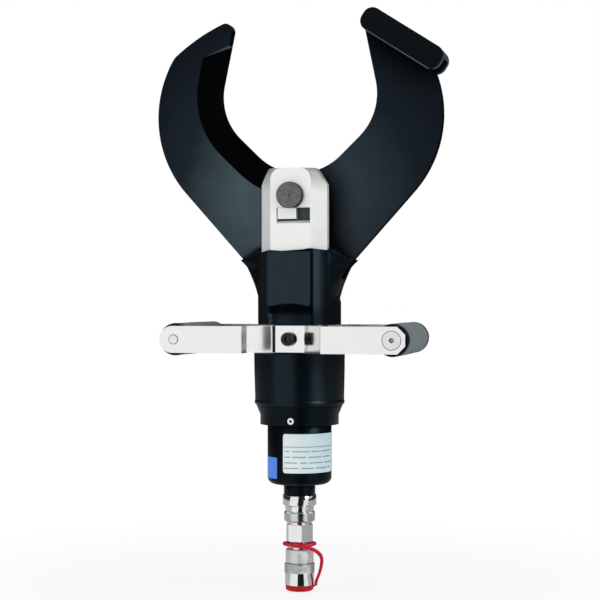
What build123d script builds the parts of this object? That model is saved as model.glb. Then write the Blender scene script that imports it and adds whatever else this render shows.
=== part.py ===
# Hydraulic cable cutting head: two scissor blades on one pivot pin, closed by a hydraulic ram.
# Millimetres. +Z runs up the tool axis from the hose coupler to the blades, and -Y is the front.
# The origin is the centre of the coupler's mouth.
import math
import os

from build123d import *

os.makedirs("parts", exist_ok=True)

# Clearances
slide_gap = 0.3  # between faces that move past each other
shaft_play = 0.05  # radial play of a shaft in its bore
seat_gap = 0.02  # radial gap of pressed and screwed seats

# Hose coupler, measured up from its mouth
mouth_radius = 8.0
mouth_depth = 20.0
poppet_lip_radius = 4.5
poppet_lip_thickness = 1.5
poppet_chamber_radius = 7.0
poppet_chamber_length = 26.0
poppet_head_length = 3.5
poppet_stem_radius = 2.5
poppet_stem_length = 14.0
poppet_wire_radius = 0.6
poppet_coil_radius = 4.6
poppet_coil_turns = 7
oil_way_radius = 3.0
coupler_tube_radius = 11.0
nose_length = 4.0
collar_length = 21.5
collar_radius = 14.5
knurl_radius = 15.1
knurl_length = 9.5
collar_edge = 0.8
sleeve_gap = 0.8
sleeve_length = 13.7
sleeve_radius = 14.0
sleeve_edge = 1.2
strap_neck_radius = 10.5
strap_neck_length = 7.5
hex_across_flats = 24.6
hex_length = 17.0
hex_turn = 52.0  # a corner's angle from +X
hex_edge = 1.0
coupler_thread_radius = 8.0
coupler_thread_length = 11.0
nipple_neck_radius = 12.1
nipple_neck_length = 2.5
swivel_radius = 15.4
swivel_length = 10.5
swivel_edge = 1.6
nipple_groove_radius = 14.3
nipple_groove_length = 5.2
nipple_flange_radius = 16.8
nipple_flange_length = 10.8
nipple_flange_edge = 1.6
nipple_thread_radius = 7.0
nipple_thread_length = 8.0
adapter_radius = 15.7
adapter_length = 11.5
adapter_thread_radius = 9.0
adapter_thread_length = 8.0

# Dust cap and its moulded strap
cap_radius = 14.0
cap_wall = 1.4
cap_floor = 1.6
cap_floor_gap = 0.4
cap_height = 5.7
cap_edge = 1.5
cap_hinge_reach = 17.5
cap_tab_width = 3.4
cap_tab_gap = 1.5
cap_tab_thickness = 1.4
strap_ring_radius = 17.0
strap_ring_thickness = 3.0
strap_thickness = 2.4
strap_width = 3.4
strap_bulge = 22.3
strap_set_back = 1.5

# End cap, barrel and its rubber sleeve
end_cap_radius = 32.0
end_cap_height = 70.0
end_cap_thread_radius = 31.0
end_cap_floor = 11.0
end_cap_fillet = 7.0
tube_radius = 28.0
bore_radius = 22.5
skirt_length = 10.5
band_radius = 39.2
band_length = 9.5
shoulder_radius = 43.6
shoulder_length = 10.5
barrel_radius = 42.0
barrel_height = 120.0
sleeve_cover_radius_low = 44.1
sleeve_cover_radius_high = 45.4
sleeve_cover_edge = 1.2
seal_wire_radius = 1.0
seal_ring_radius = 25.25
lock_screw_radius = 3.2
lock_screw_socket = 1.5
lock_screw_height = 5.0

# Piston, rod and return spring
piston_rest_gap = 2.0
piston_height = 24.0
piston_play = 0.1
piston_groove_depth = 3.0
piston_seal_width = 4.0
piston_seal_height = 8.0
guide_ring_height = 16.0
rod_radius = 12.0
rod_thread_radius = 9.0
rod_thread_length = 14.0
spring_wire_radius = 2.0
spring_coil_radius = 17.2
spring_turns = 7

# Clevis: spigot in the barrel, waist for the handle, round base and two ears
spigot_radius = 33.0
spigot_length = 24.0
waist_radius = 30.0
base_radius = 38.5
base_length = 21.0
gland_radius = 16.0
gland_length = 27.0
gland_step = 1.0
wiper_radius = 17.0
wiper_length = 8.0
slot_floor_depth = 2.5
ear_root = 3.0
rod_way_gap = 0.3
ear_half_width = 33.0
ear_front = 39.5
ear_flat_half_width = 20.3
ear_chamfer_depth = 16.0
ear_crown = 27.0
ear_corner_radius = 11.0
ear_slant_drop = 15.5
ear_slant_run = 9.5
pin_height = 390.0  # pivot axis above the coupler's mouth
pin_radius = 13.0
pin_proud = 6.5
pin_flat_drop = 11.8
pin_edge = 0.8
pin_centre_mark = 1.2
pin_head_radius = 16.5
pin_head_length = 4.0
keeper_width = 18.6
keeper_height = 11.0
keeper_shift = -4.0
keeper_recess = 0.6
pocket_depth = 9.0
pocket_height = 15.4
pocket_left = 14.0
pocket_ramp = 4.0
pocket_rim = 0.8
washer_thickness = 1.0
washer_radius = 20.0

# Blades, measured from the pivot axis: u is outward, v is up
blade_thickness = 13.0
blade_face_gap = 0.05
closing_angle = 45.0
tip_radius = 190.5
tip_top_u = 67.4
tip_inner_u = 66.3
tip_end_length = 10.7
tip_corner_radius = 7.0
outer_corner_radius = 16.0
corner_angle = 48.3  # tip's outer corner, above the outward direction
corner_facing = 31.6  # way that the outer edge faces at that corner
outer_arc_radius = 115.0
heel_reach = 48.9
heel_drop = 68.0
heel_inset_u = 12.0
heel_inset_v = 14.0
throat_centre_u = 19.7
throat_rise = 102.5
throat_radius = 58.8
crotch_lift = 25.0
crotch_radius = 60.0
bevel_width = 25.0
edge_land = 0.6
bevel_end_u = 91.2
bevel_end_below_tip = 46.7
bevel_end_slope = 22.3
boss_radius = 25.0
bush_wall = 3.0

# Cam drive between the ram and the blade tails
cam_start = 80.0  # cam pin below the pivot with the blades open
cam_stroke = 35.0
cam_pin_radius = 7.0
cam_play = 0.45
cam_wall = 5.0
cam_lug_overhang = 1.5
tail_thickness = 8.0
cheek_gap = 0.4
cheek_half_width = 10.0
cheek_clear = 1.0
fork_throat = 29.0
crosshead_half_width = 13.0
crosshead_base = 18.0

# Blade guide on the tip of the right blade
guide_angle = 33.0
guide_lap = 16.2
guide_web = 6.6
guide_lead = 39.3
guide_trail = 51.7
guide_plate = 9.0
guide_corner = 10.0
guide_tip_gap = 0.8
guide_screw_radius = 3.0
guide_screw_head_radius = 6.0
guide_screw_head_depth = 3.2
guide_screw_length = 16.0
guide_screw_inset = 7.5
guide_screw_lead = 18.0
guide_screw_trail = 12.0

# Handle
bar_gap = 1.0
bar_height = 26.0
bar_thickness = 5.5
bar_edge = 0.8
hat_bend = 7.5
hat_half_width = 15.5
hat_front = 46.0
step_reach = 37.8
step_lean = 0.2
step_depth = 15.0
grip_reach = 106.5
grip_radius = 16.0
grip_end_radius = 15.7
grip_ring_length = 7.0
grip_half_length = 66.0
grip_shift = 8.75  # the grips sit this far before the tool's axis
bar_end_reach = 13.0
bar_round_reach = 14.2
bar_end_chamfer = 7.5
boss_half_width = 10.5
rod_pin_radius = 5.0
rod_rivet_radius = 4.2
rivet_proud = 0.6
end_screw_radius = 4.0
end_screw_head_radius = 8.7
end_screw_head_depth = 4.4
end_screw_length = 22.0
end_screw_socket = 2.6
cap_screw_radius = 4.0
cap_screw_head_radius = 6.5
cap_screw_head_length = 8.0
cap_screw_length = 24.0
cap_screw_socket_flats = 6.0
cap_screw_socket_depth = 4.0
cap_screw_edge = 0.6

# Rubber boot over the clevis
boot_wall = 2.7
boot_gap = 0.35
boot_drop = 53.0  # boot's front top edge below the pivot
boot_round_rise = 7.0
boot_swell = 3.25
boot_swell_rise = 12.0
boot_panel_side = 2.0
boot_side_drop = 9.0
boot_flank_drop = 15.0
boot_flank_bulge = 4.2
boot_side_wall = 1.9
boot_foot_gap = 0.5

# Heights that follow from the sizes above
collar_bottom = nose_length
collar_top = collar_bottom + collar_length
sleeve_bottom = collar_top + sleeve_gap
sleeve_top = sleeve_bottom + sleeve_length
hex_bottom = sleeve_top + strap_neck_length
hex_top = hex_bottom + hex_length
swivel_bottom = hex_top + nipple_neck_length
swivel_top = swivel_bottom + swivel_length
flange_bottom = swivel_top + nipple_groove_length
flange_top = flange_bottom + nipple_flange_length
end_cap_bottom = flange_top + adapter_length
bore_bottom = end_cap_bottom + end_cap_floor
end_cap_top = end_cap_bottom + end_cap_height
band_bottom = end_cap_top - skirt_length
cone_bottom = band_bottom + band_length
cone_top = cone_bottom + shoulder_length
barrel_top = bore_bottom + barrel_height
spigot_bottom = barrel_top - spigot_length
bar_bottom = barrel_top + bar_gap
bar_top = bar_bottom + bar_height
handle_height = bar_bottom + bar_height / 2
base_bottom = bar_top + bar_gap
base_top = base_bottom + base_length
slot_floor = base_bottom - slot_floor_depth
ear_inner = blade_thickness + slide_gap / 2 + washer_thickness + shaft_play
ear_top = pin_height + ear_crown
piston_bottom = bore_bottom + piston_rest_gap
piston_top = piston_bottom + piston_height
cam_pin_height = pin_height - cam_start
throat_floor = cam_pin_height - fork_throat
crosshead_bottom = throat_floor - crosshead_base
handle_rear_face = hat_front - bar_thickness
outer_arm_front = grip_shift + grip_half_length + bar_thickness
rear_arm_face = grip_half_length + bar_thickness - grip_shift
step_front = outer_arm_front - step_depth
poppet_bottom = mouth_depth + poppet_lip_thickness
poppet_chamber_top = poppet_bottom + poppet_chamber_length


def outline(corners, plane=Plane.XZ):
    with BuildSketch(plane) as drawn:
        with BuildLine():
            Polyline(*corners, close=True)
        make_face()
    return drawn.sketch


def ring_section(inner, outer, bottom, top):
    return outline([(inner, bottom), (outer, bottom), (outer, top), (inner, top)])


def coil_path(radius, bottom, top, turns):
    # a helix as quarter turns, each of two arcs that share a tangent
    steps = turns * 4
    climb = (top - bottom) / (turns * 2 * math.pi)

    def spot(step):
        angle = step * math.pi / 2
        return Vector(radius * math.cos(angle), radius * math.sin(angle), bottom + climb * angle)

    def heading(step):
        angle = step * math.pi / 2
        return Vector(-radius * math.sin(angle), radius * math.cos(angle), climb).normalized()

    with BuildLine() as path:
        for step in range(steps):
            start, end = spot(step), spot(step + 1)
            leave, arrive = heading(step), heading(step + 1)
            span = end - start
            both = leave + arrive
            square = both.dot(both) - 4
            middle = -2 * span.dot(both)
            reach = (-middle - math.sqrt(middle**2 - 4 * square * span.dot(span))) / (2 * square)
            first = start + leave * reach
            second = end - arrive * reach
            joint = (first + second) * 0.5
            TangentArc(start, joint, tangent=leave)
            TangentArc(joint, end, tangent=second - first)
    return path.wires()[0]


def wind(path, wire_radius):
    # the round wire's section at the start of a coil
    with BuildSketch(Plane(origin=path @ 0, z_dir=path % 0)) as section:
        Circle(wire_radius)
    return section.sketch


# Coupler body: mouth bore, poppet chamber, strap neck, hexagon and screwed end
with BuildPart() as coupler_body:
    revolve(
        outline(
            [
                (0, 0),
                (coupler_tube_radius, 0),
                (coupler_tube_radius, sleeve_top),
                (strap_neck_radius, sleeve_top),
                (strap_neck_radius, hex_bottom + hex_edge),
                (coupler_thread_radius, hex_bottom + hex_edge),
                (coupler_thread_radius, hex_top + coupler_thread_length),
                (0, hex_top + coupler_thread_length),
            ]
        ),
        axis=Axis.Z,
    )
    with BuildSketch(Plane.XY.offset(hex_bottom)):
        RegularPolygon(hex_across_flats / 2, 6, major_radius=False, rotation=hex_turn)
    extrude(amount=hex_length)
    hex_corner_radius = hex_across_flats / math.sqrt(3)
    revolve(
        outline(
            [
                (hex_corner_radius - hex_edge, hex_top),
                (hex_corner_radius + hex_edge, hex_top - 2 * hex_edge),
                (hex_corner_radius + hex_edge, hex_top),
            ]
        ),
        axis=Axis.Z,
        mode=Mode.SUBTRACT,
    )
    revolve(
        outline(
            [
                (hex_corner_radius - hex_edge, hex_bottom),
                (hex_corner_radius + hex_edge, hex_bottom + 2 * hex_edge),
                (hex_corner_radius + hex_edge, hex_bottom),
            ]
        ),
        axis=Axis.Z,
        mode=Mode.SUBTRACT,
    )
    revolve(ring_section(0, mouth_radius, 0, mouth_depth), axis=Axis.Z, mode=Mode.SUBTRACT)
    revolve(ring_section(0, poppet_lip_radius, 0, poppet_bottom), axis=Axis.Z, mode=Mode.SUBTRACT)
    revolve(
        ring_section(0, poppet_chamber_radius, poppet_bottom, poppet_chamber_top),
        axis=Axis.Z,
        mode=Mode.SUBTRACT,
    )
    revolve(
        ring_section(0, oil_way_radius, poppet_chamber_top, hex_top + coupler_thread_length),
        axis=Axis.Z,
        mode=Mode.SUBTRACT,
    )

# Poppet that closes the coupler, with its spring
poppet_head_top = poppet_bottom + poppet_head_length
with BuildPart() as poppet:
    revolve(
        outline(
            [
                (0, poppet_bottom),
                (poppet_chamber_radius - slide_gap, poppet_bottom),
                (poppet_chamber_radius - slide_gap, poppet_head_top),
                (poppet_stem_radius, poppet_head_top),
                (poppet_stem_radius, poppet_head_top + poppet_stem_length),
                (0, poppet_head_top + poppet_stem_length),
            ]
        ),
        axis=Axis.Z,
    )

poppet_coil = coil_path(
    poppet_coil_radius,
    poppet_head_top + poppet_wire_radius,
    poppet_chamber_top - poppet_wire_radius,
    poppet_coil_turns,
)
with BuildPart() as poppet_spring:
    sweep(wind(poppet_coil, poppet_wire_radius), path=poppet_coil)

# Outer sleeve and turning collar of the coupler
with BuildPart() as coupler_sleeve:
    revolve(
        outline(
            [
                (coupler_tube_radius + seat_gap, sleeve_bottom),
                (sleeve_radius, sleeve_bottom),
                (sleeve_radius, sleeve_top - sleeve_edge),
                (sleeve_radius - sleeve_edge, sleeve_top),
                (coupler_tube_radius + seat_gap, sleeve_top),
            ]
        ),
        axis=Axis.Z,
    )

with BuildPart() as coupler_collar:
    revolve(
        outline(
            [
                (coupler_tube_radius + slide_gap, collar_bottom),
                (collar_radius - collar_edge, collar_bottom),
                (collar_radius, collar_bottom + collar_edge),
                (collar_radius, collar_top - knurl_length),
                (knurl_radius, collar_top - knurl_length + collar_edge),
                (knurl_radius, collar_top - collar_edge),
                (knurl_radius - collar_edge, collar_top),
                (coupler_tube_radius + slide_gap, collar_top),
            ]
        ),
        axis=Axis.Z,
    )

# Dust cap over the nose, with the tab that hangs it on its strap
cap_bottom = -cap_floor_gap - cap_floor
cap_rim = cap_bottom + cap_height
cap_hinge_height = cap_rim + cap_tab_thickness / 2
with BuildPart() as dust_cap:
    revolve(
        outline(
            [
                (0, cap_bottom),
                (cap_radius - cap_edge, cap_bottom),
                (cap_radius, cap_bottom + cap_edge),
                (cap_radius, cap_rim),
                (cap_radius - cap_wall, cap_rim),
                (cap_radius - cap_wall, -cap_floor_gap),
                (0, -cap_floor_gap),
            ]
        ),
        axis=Axis.Z,
    )
    with BuildSketch(Plane.XZ.offset(-cap_tab_width / 2)):
        with BuildLine():
            Polyline(
                (cap_radius - cap_wall / 2, cap_rim - cap_tab_thickness),
                (cap_hinge_reach - cap_tab_gap, cap_rim - cap_tab_thickness),
                (cap_hinge_reach - cap_tab_gap, cap_rim),
                (cap_radius - cap_wall / 2, cap_rim),
                close=True,
            )
        make_face()
    extrude(amount=cap_tab_width)

# Moulded strap: a ring round the coupler's neck and a flat band down to the cap's tab
strap_ring_top = hex_bottom - strap_set_back
strap_ring_bottom = strap_ring_top - strap_ring_thickness
strap_end_bottom = cap_rim + slide_gap
with BuildPart() as cap_strap:
    revolve(
        ring_section(
            strap_neck_radius + seat_gap, strap_ring_radius, strap_ring_bottom, strap_ring_top
        ),
        axis=Axis.Z,
    )
    with BuildSketch(Plane.XZ.offset(-strap_width / 2)):
        with BuildLine():
            inner_edge = Spline(
                (strap_ring_radius - strap_thickness / 2, strap_ring_bottom),
                (strap_bulge - strap_thickness, (strap_ring_bottom + strap_end_bottom) / 2),
                (cap_hinge_reach - strap_thickness / 2, strap_end_bottom),
                tangents=((1, -1), (-1, -1)),
            )
            outer_edge = Spline(
                (strap_ring_radius - strap_thickness / 2, strap_ring_top),
                (strap_bulge, (strap_ring_bottom + strap_end_bottom) / 2),
                (cap_hinge_reach + strap_thickness / 2, strap_end_bottom),
                tangents=((1, -0.4), (-1, -1)),
            )
            Line(inner_edge @ 0, outer_edge @ 0)
            Line(inner_edge @ 1, outer_edge @ 1)
        make_face()
    extrude(amount=strap_width)

# Nipple and swivel ring between the coupler and the tool's neck
with BuildPart() as hose_nipple:
    revolve(
        outline(
            [
                (coupler_thread_radius + seat_gap, hex_top),
                (nipple_neck_radius, hex_top),
                (nipple_neck_radius, swivel_top),
                (nipple_groove_radius, swivel_top),
                (nipple_groove_radius, flange_bottom),
                (nipple_flange_radius - nipple_flange_edge, flange_bottom),
                (nipple_flange_radius, flange_bottom + nipple_flange_edge),
                (nipple_flange_radius, flange_top),
                (nipple_thread_radius, flange_top),
                (nipple_thread_radius, flange_top + nipple_thread_length),
                (oil_way_radius, flange_top + nipple_thread_length),
                (oil_way_radius, hex_top + coupler_thread_length),
                (coupler_thread_radius + seat_gap, hex_top + coupler_thread_length),
            ]
        ),
        axis=Axis.Z,
    )

with BuildPart() as swivel_ring:
    revolve(
        outline(
            [
                (nipple_neck_radius + seat_gap, swivel_bottom),
                (swivel_radius - swivel_edge, swivel_bottom),
                (swivel_radius, swivel_bottom + swivel_edge),
                (swivel_radius, swivel_top - swivel_edge),
                (swivel_radius - swivel_edge, swivel_top),
                (nipple_neck_radius + seat_gap, swivel_top),
            ]
        ),
        axis=Axis.Z,
    )

with BuildPart() as neck_adapter:
    revolve(
        outline(
            [
                (nipple_thread_radius + seat_gap, flange_top),
                (adapter_radius, flange_top),
                (adapter_radius, end_cap_bottom),
                (adapter_thread_radius, end_cap_bottom),
                (adapter_thread_radius, end_cap_bottom + adapter_thread_length),
                (oil_way_radius, end_cap_bottom + adapter_thread_length),
                (oil_way_radius, flange_top + nipple_thread_length),
                (nipple_thread_radius + seat_gap, flange_top + nipple_thread_length),
            ]
        ),
        axis=Axis.Z,
    )

# End cap screwed over the foot of the barrel, with its face seal
seal_groove_bottom = bore_bottom - 2 * seal_wire_radius
with BuildPart() as end_cap:
    revolve(
        outline(
            [
                (adapter_thread_radius + seat_gap, end_cap_bottom),
                (end_cap_radius, end_cap_bottom),
                (end_cap_radius, band_bottom),
                (end_cap_thread_radius, band_bottom),
                (end_cap_thread_radius, end_cap_top),
                (tube_radius + seat_gap, end_cap_top),
                (tube_radius + seat_gap, bore_bottom),
                (oil_way_radius, bore_bottom),
                (oil_way_radius, end_cap_bottom + adapter_thread_length),
                (adapter_thread_radius + seat_gap, end_cap_bottom + adapter_thread_length),
            ]
        ),
        axis=Axis.Z,
    )
    foot = end_cap.edges().filter_by(GeomType.CIRCLE).group_by(Axis.Z)[0].sort_by(SortBy.RADIUS)[-1]
    fillet(foot, end_cap_fillet)
    revolve(
        ring_section(
            seal_ring_radius - seal_wire_radius - seat_gap,
            seal_ring_radius + seal_wire_radius + seat_gap,
            seal_groove_bottom,
            bore_bottom,
        ),
        axis=Axis.Z,
        mode=Mode.SUBTRACT,
    )

with BuildPart() as end_cap_seal:
    with Locations((0, 0, bore_bottom - seal_wire_radius)):
        Torus(seal_ring_radius, seal_wire_radius)

# Barrel: thin foot inside the end cap, outer band with its lock screw, shoulder and body
lock_height = band_bottom + lock_screw_height
with BuildPart() as barrel:
    revolve(
        outline(
            [
                (bore_radius, bore_bottom),
                (tube_radius, bore_bottom),
                (tube_radius, end_cap_top + seat_gap),
                (end_cap_thread_radius + seat_gap, end_cap_top + seat_gap),
                (end_cap_thread_radius + seat_gap, band_bottom),
                (band_radius, band_bottom),
                (band_radius, cone_bottom),
                (shoulder_radius, cone_top),
                (barrel_radius, cone_top),
                (barrel_radius, barrel_top),
                (spigot_radius + seat_gap, barrel_top),
                (spigot_radius + seat_gap, spigot_bottom),
                (bore_radius, spigot_bottom),
            ]
        ),
        axis=Axis.Z,
    )
    with BuildSketch(Plane.XZ.offset(end_cap_thread_radius)):
        with Locations((0, lock_height)):
            Circle(lock_screw_radius + seat_gap)
    extrude(amount=band_radius - end_cap_thread_radius + lock_screw_radius, mode=Mode.SUBTRACT)

with BuildPart() as lock_screw:
    with BuildSketch(Plane.XZ.offset(end_cap_thread_radius + shaft_play)):
        with Locations((0, lock_height)):
            Circle(lock_screw_radius)
    extrude(amount=band_radius - end_cap_thread_radius)
    with BuildSketch(Plane.XZ.offset(band_radius + shaft_play)):
        with Locations((0, lock_height)):
            RegularPolygon(lock_screw_socket, 6)
    extrude(amount=-2 * lock_screw_socket, mode=Mode.SUBTRACT)

with BuildPart() as barrel_sleeve:
    revolve(
        outline(
            [
                (barrel_radius + seat_gap, cone_top + seat_gap),
                (sleeve_cover_radius_low, cone_top + seat_gap),
                (sleeve_cover_radius_high, barrel_top - sleeve_cover_edge),
                (sleeve_cover_radius_high - sleeve_cover_edge, barrel_top),
                (barrel_radius + seat_gap, barrel_top),
            ]
        ),
        axis=Axis.Z,
    )

# Piston with its seal and guide ring, rod and return spring
piston_radius = bore_radius - piston_play
ring_radius = bore_radius - shaft_play
groove_radius = piston_radius - piston_groove_depth
seal_bottom = piston_bottom + piston_seal_height
guide_bottom = piston_bottom + guide_ring_height
with BuildPart() as piston:
    revolve(
        ring_section(0, piston_radius, piston_bottom, piston_top),
        axis=Axis.Z,
    )
    for groove_bottom in (seal_bottom, guide_bottom):
        revolve(
            ring_section(
                groove_radius, piston_radius + piston_play, groove_bottom, groove_bottom + piston_seal_width
            ),
            axis=Axis.Z,
            mode=Mode.SUBTRACT,
        )
    revolve(
        ring_section(0, rod_thread_radius + seat_gap, piston_top - rod_thread_length, piston_top),
        axis=Axis.Z,
        mode=Mode.SUBTRACT,
    )

with BuildPart() as piston_seal:
    revolve(
        ring_section(groove_radius + seat_gap, ring_radius, seal_bottom, seal_bottom + piston_seal_width),
        axis=Axis.Z,
    )

with BuildPart() as piston_guide_ring:
    revolve(
        ring_section(groove_radius + seat_gap, ring_radius, guide_bottom, guide_bottom + piston_seal_width),
        axis=Axis.Z,
    )

with BuildPart() as piston_rod:
    revolve(
        outline(
            [
                (0, piston_top - rod_thread_length),
                (rod_thread_radius, piston_top - rod_thread_length),
                (rod_thread_radius, piston_top),
                (rod_radius, piston_top),
                (rod_radius, crosshead_bottom),
                (rod_thread_radius, crosshead_bottom),
                (rod_thread_radius, crosshead_bottom + rod_thread_length),
                (0, crosshead_bottom + rod_thread_length),
            ]
        ),
        axis=Axis.Z,
    )

return_coil = coil_path(
    spring_coil_radius,
    piston_top + spring_wire_radius + shaft_play,
    spigot_bottom - spring_wire_radius - shaft_play,
    spring_turns,
)
with BuildPart() as return_spring:
    sweep(wind(return_coil, spring_wire_radius), path=return_coil)

# Crosshead: screwed on the rod, with two cheeks that carry the cam pin across the blade tails
cheek_outer = ear_inner - cheek_gap
cheek_inner = tail_thickness + cheek_gap
with BuildPart() as crosshead:
    with Locations((0, 0, crosshead_bottom)):
        Box(
            2 * crosshead_half_width,
            2 * cheek_outer,
            crosshead_base,
            align=(Align.CENTER, Align.CENTER, Align.MIN),
        )
    for side in (-1, 1):
        with BuildSketch(Plane.XZ.offset(side * cheek_outer)):
            with BuildLine():
                Line((-cheek_half_width, throat_floor), (-cheek_half_width, cam_pin_height))
                ThreePointArc(
                    (-cheek_half_width, cam_pin_height),
                    (0, cam_pin_height + cheek_half_width),
                    (cheek_half_width, cam_pin_height),
                )
                Line((cheek_half_width, cam_pin_height), (cheek_half_width, throat_floor))
                Line((cheek_half_width, throat_floor), (-cheek_half_width, throat_floor))
            make_face()
        extrude(amount=-side * (cheek_outer - cheek_inner))
    revolve(
        ring_section(0, rod_thread_radius + seat_gap, crosshead_bottom, crosshead_bottom + rod_thread_length),
        axis=Axis.Z,
        mode=Mode.SUBTRACT,
    )
    with Locations((0, 0, cam_pin_height)):
        Cylinder(
            cam_pin_radius + seat_gap, 4 * cheek_outer, rotation=(90, 0, 0), mode=Mode.SUBTRACT
        )

with BuildPart() as cam_pin:
    with Locations((0, 0, cam_pin_height)):
        Cylinder(cam_pin_radius, 2 * cheek_outer, rotation=(90, 0, 0))


# Blade outline, drawn for the left blade in the front layer. Each point is (u, v) from the pivot.
def blade_point(u, v):
    return -u, pin_height + v


def on_circle(centre, radius, turn):
    return centre[0] + radius * math.cos(turn), centre[1] + radius * math.sin(turn)


def tangent_turn(point, centre, radius, side):
    # where a straight line from a point outside touches a circle
    du, dv = point[0] - centre[0], point[1] - centre[1]
    return math.atan2(dv, du) + side * math.acos(radius / math.hypot(du, dv))


tip_top_v = math.sqrt(tip_radius**2 - tip_top_u**2)
tip_inner_v = tip_top_v - tip_end_length
corner_turn = math.radians(corner_angle)
outer_start = math.radians(corner_facing)
outer_centre = on_circle(on_circle((0, 0), tip_radius, corner_turn), -outer_arc_radius, outer_start)
throat_centre = (throat_centre_u, throat_rise)
throat_to_tip = tip_radius - throat_rise
crotch_centre = (0, crotch_lift + crotch_radius)
tip_turn = math.atan2(tip_top_v, tip_top_u)
flank_turn = tangent_turn((heel_reach, -heel_drop), outer_centre, outer_arc_radius, 1)
throat_top_turn = tangent_turn((tip_inner_u, tip_inner_v), throat_centre, throat_radius, -1)
between_u = throat_centre[0] - crotch_centre[0]
between_v = throat_centre[1] - crotch_centre[1]
throat_low_turn = math.atan2(between_v, between_u) - math.acos(
    (crotch_radius - throat_radius) / math.hypot(between_u, between_v)
)
crotch_turn_end = -math.pi / 2
crotch_turn_middle = (throat_low_turn + crotch_turn_end) / 2
throat_turn_middle = (throat_top_turn + throat_low_turn) / 2

tip_top = blade_point(tip_top_u, tip_top_v)
tip_inner = blade_point(tip_inner_u, tip_inner_v)
tip_middle = blade_point(*on_circle((0, 0), tip_radius, (tip_turn + corner_turn) / 2))
corner = blade_point(*on_circle((0, 0), tip_radius, corner_turn))
widest = blade_point(*on_circle(outer_centre, outer_arc_radius, (outer_start + flank_turn) / 2))
flank_u, flank_v = on_circle(outer_centre, outer_arc_radius, flank_turn)
flank = blade_point(flank_u, flank_v)
heel_slope = math.atan2(flank_v + heel_drop, flank_u - heel_reach)
heel = blade_point(heel_reach, -heel_drop)
heel_low = blade_point(heel_reach - heel_inset_u, -heel_drop - heel_inset_v)
tail_reach = cam_start + cam_pin_radius + cam_play + cam_wall
tail_low = blade_point(0, -tail_reach)


# Cam path in the blade: the pin climbs the tool axis evenly while the blade turns
def cam_point(share):
    turn = math.radians(closing_angle * share)
    radius = cam_start - cam_stroke * share
    return radius * math.sin(turn), pin_height - radius * math.cos(turn)


cam_low = cam_point(0)
cam_middle = cam_point(0.5)
cam_high = cam_point(1)
cam_slot_half = cam_pin_radius + cam_play
cam_lug_half = cam_slot_half + cam_wall


def cam_slot(plane, half_width):
    with BuildSketch(plane) as drawn:
        with BuildLine(mode=Mode.PRIVATE) as path:
            ThreePointArc(cam_low, cam_middle, cam_high)
        SlotArc(path.line.edges()[0], 2 * half_width)
    return drawn.sketch


def throat_point(turn, shift=0):
    return blade_point(*on_circle(throat_centre, throat_radius + shift, turn))


def crotch_point(turn, shift=0):
    return blade_point(*on_circle(crotch_centre, crotch_radius + shift, turn))


blade_plane = Plane.XZ.offset(blade_face_gap)
blade_depth = blade_thickness - blade_face_gap
front_face = Plane.XZ.offset(blade_thickness)
with BuildSketch(blade_plane) as blade_profile:
    with BuildLine():
        Line(tip_inner, tip_top)
        ThreePointArc(tip_top, tip_middle, corner)
        ThreePointArc(corner, widest, flank)
        Line(flank, heel)
        Line(heel, heel_low)
        Line(heel_low, tail_low)
        Line(tail_low, crotch_point(crotch_turn_end))
        ThreePointArc(
            crotch_point(crotch_turn_end), crotch_point(crotch_turn_middle), crotch_point(throat_low_turn)
        )
        Line(crotch_point(throat_low_turn), throat_point(throat_low_turn))
        ThreePointArc(
            throat_point(throat_low_turn), throat_point(throat_turn_middle), throat_point(throat_top_turn)
        )
        Line(throat_point(throat_top_turn), tip_inner)
    make_face()
    fillet(blade_profile.vertices().sort_by_distance(tip_top)[0], tip_corner_radius)
    fillet(blade_profile.vertices().sort_by_distance(corner)[0], outer_corner_radius)


def throat_space(plane, shift):
    # the open side of the cutting edge, moved into the blade by a shift
    high_u, high_v = on_circle(throat_centre, throat_radius + shift, throat_top_turn)
    top = blade_point(
        high_u - math.sin(throat_top_turn) * throat_to_tip,
        high_v + math.cos(throat_top_turn) * throat_to_tip,
    )
    high = throat_point(throat_top_turn, shift)
    low = throat_point(throat_low_turn, shift)
    turn = crotch_point(throat_low_turn, shift)
    bottom = crotch_point(crotch_turn_end, shift)
    with BuildSketch(plane) as drawn:
        with BuildLine():
            Line(top, high)
            ThreePointArc(high, throat_point(throat_turn_middle, shift), low)
            Line(low, turn)
            ThreePointArc(turn, crotch_point(crotch_turn_middle, shift), bottom)
            Line(bottom, (boss_radius, bottom[1]))
            Line((boss_radius, bottom[1]), (boss_radius, top[1]))
            Line((boss_radius, top[1]), top)
        make_face()
    return drawn.sketch


# Ground bevel of the cutting edge, which stops at the tip and at the pivot boss
bevel_end = blade_point(bevel_end_u, tip_radius - bevel_end_below_tip)
with BuildPart() as bevel:
    loft(
        [
            throat_space(Plane.XZ.offset(edge_land), 0),
            throat_space(front_face.offset(slide_gap), bevel_width),
        ],
        ruled=True,
    )
    with BuildSketch(front_face.offset(blade_thickness)):
        with Locations(Location((*bevel_end, 0), (0, 0, bevel_end_slope))):
            Rectangle(2 * tip_radius, tip_radius, align=(Align.CENTER, Align.MIN))
    extrude(amount=-3 * blade_thickness, mode=Mode.SUBTRACT)
    with Locations((0, 0, pin_height)):
        Cylinder(boss_radius, 4 * blade_thickness, rotation=(90, 0, 0), mode=Mode.SUBTRACT)

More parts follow.
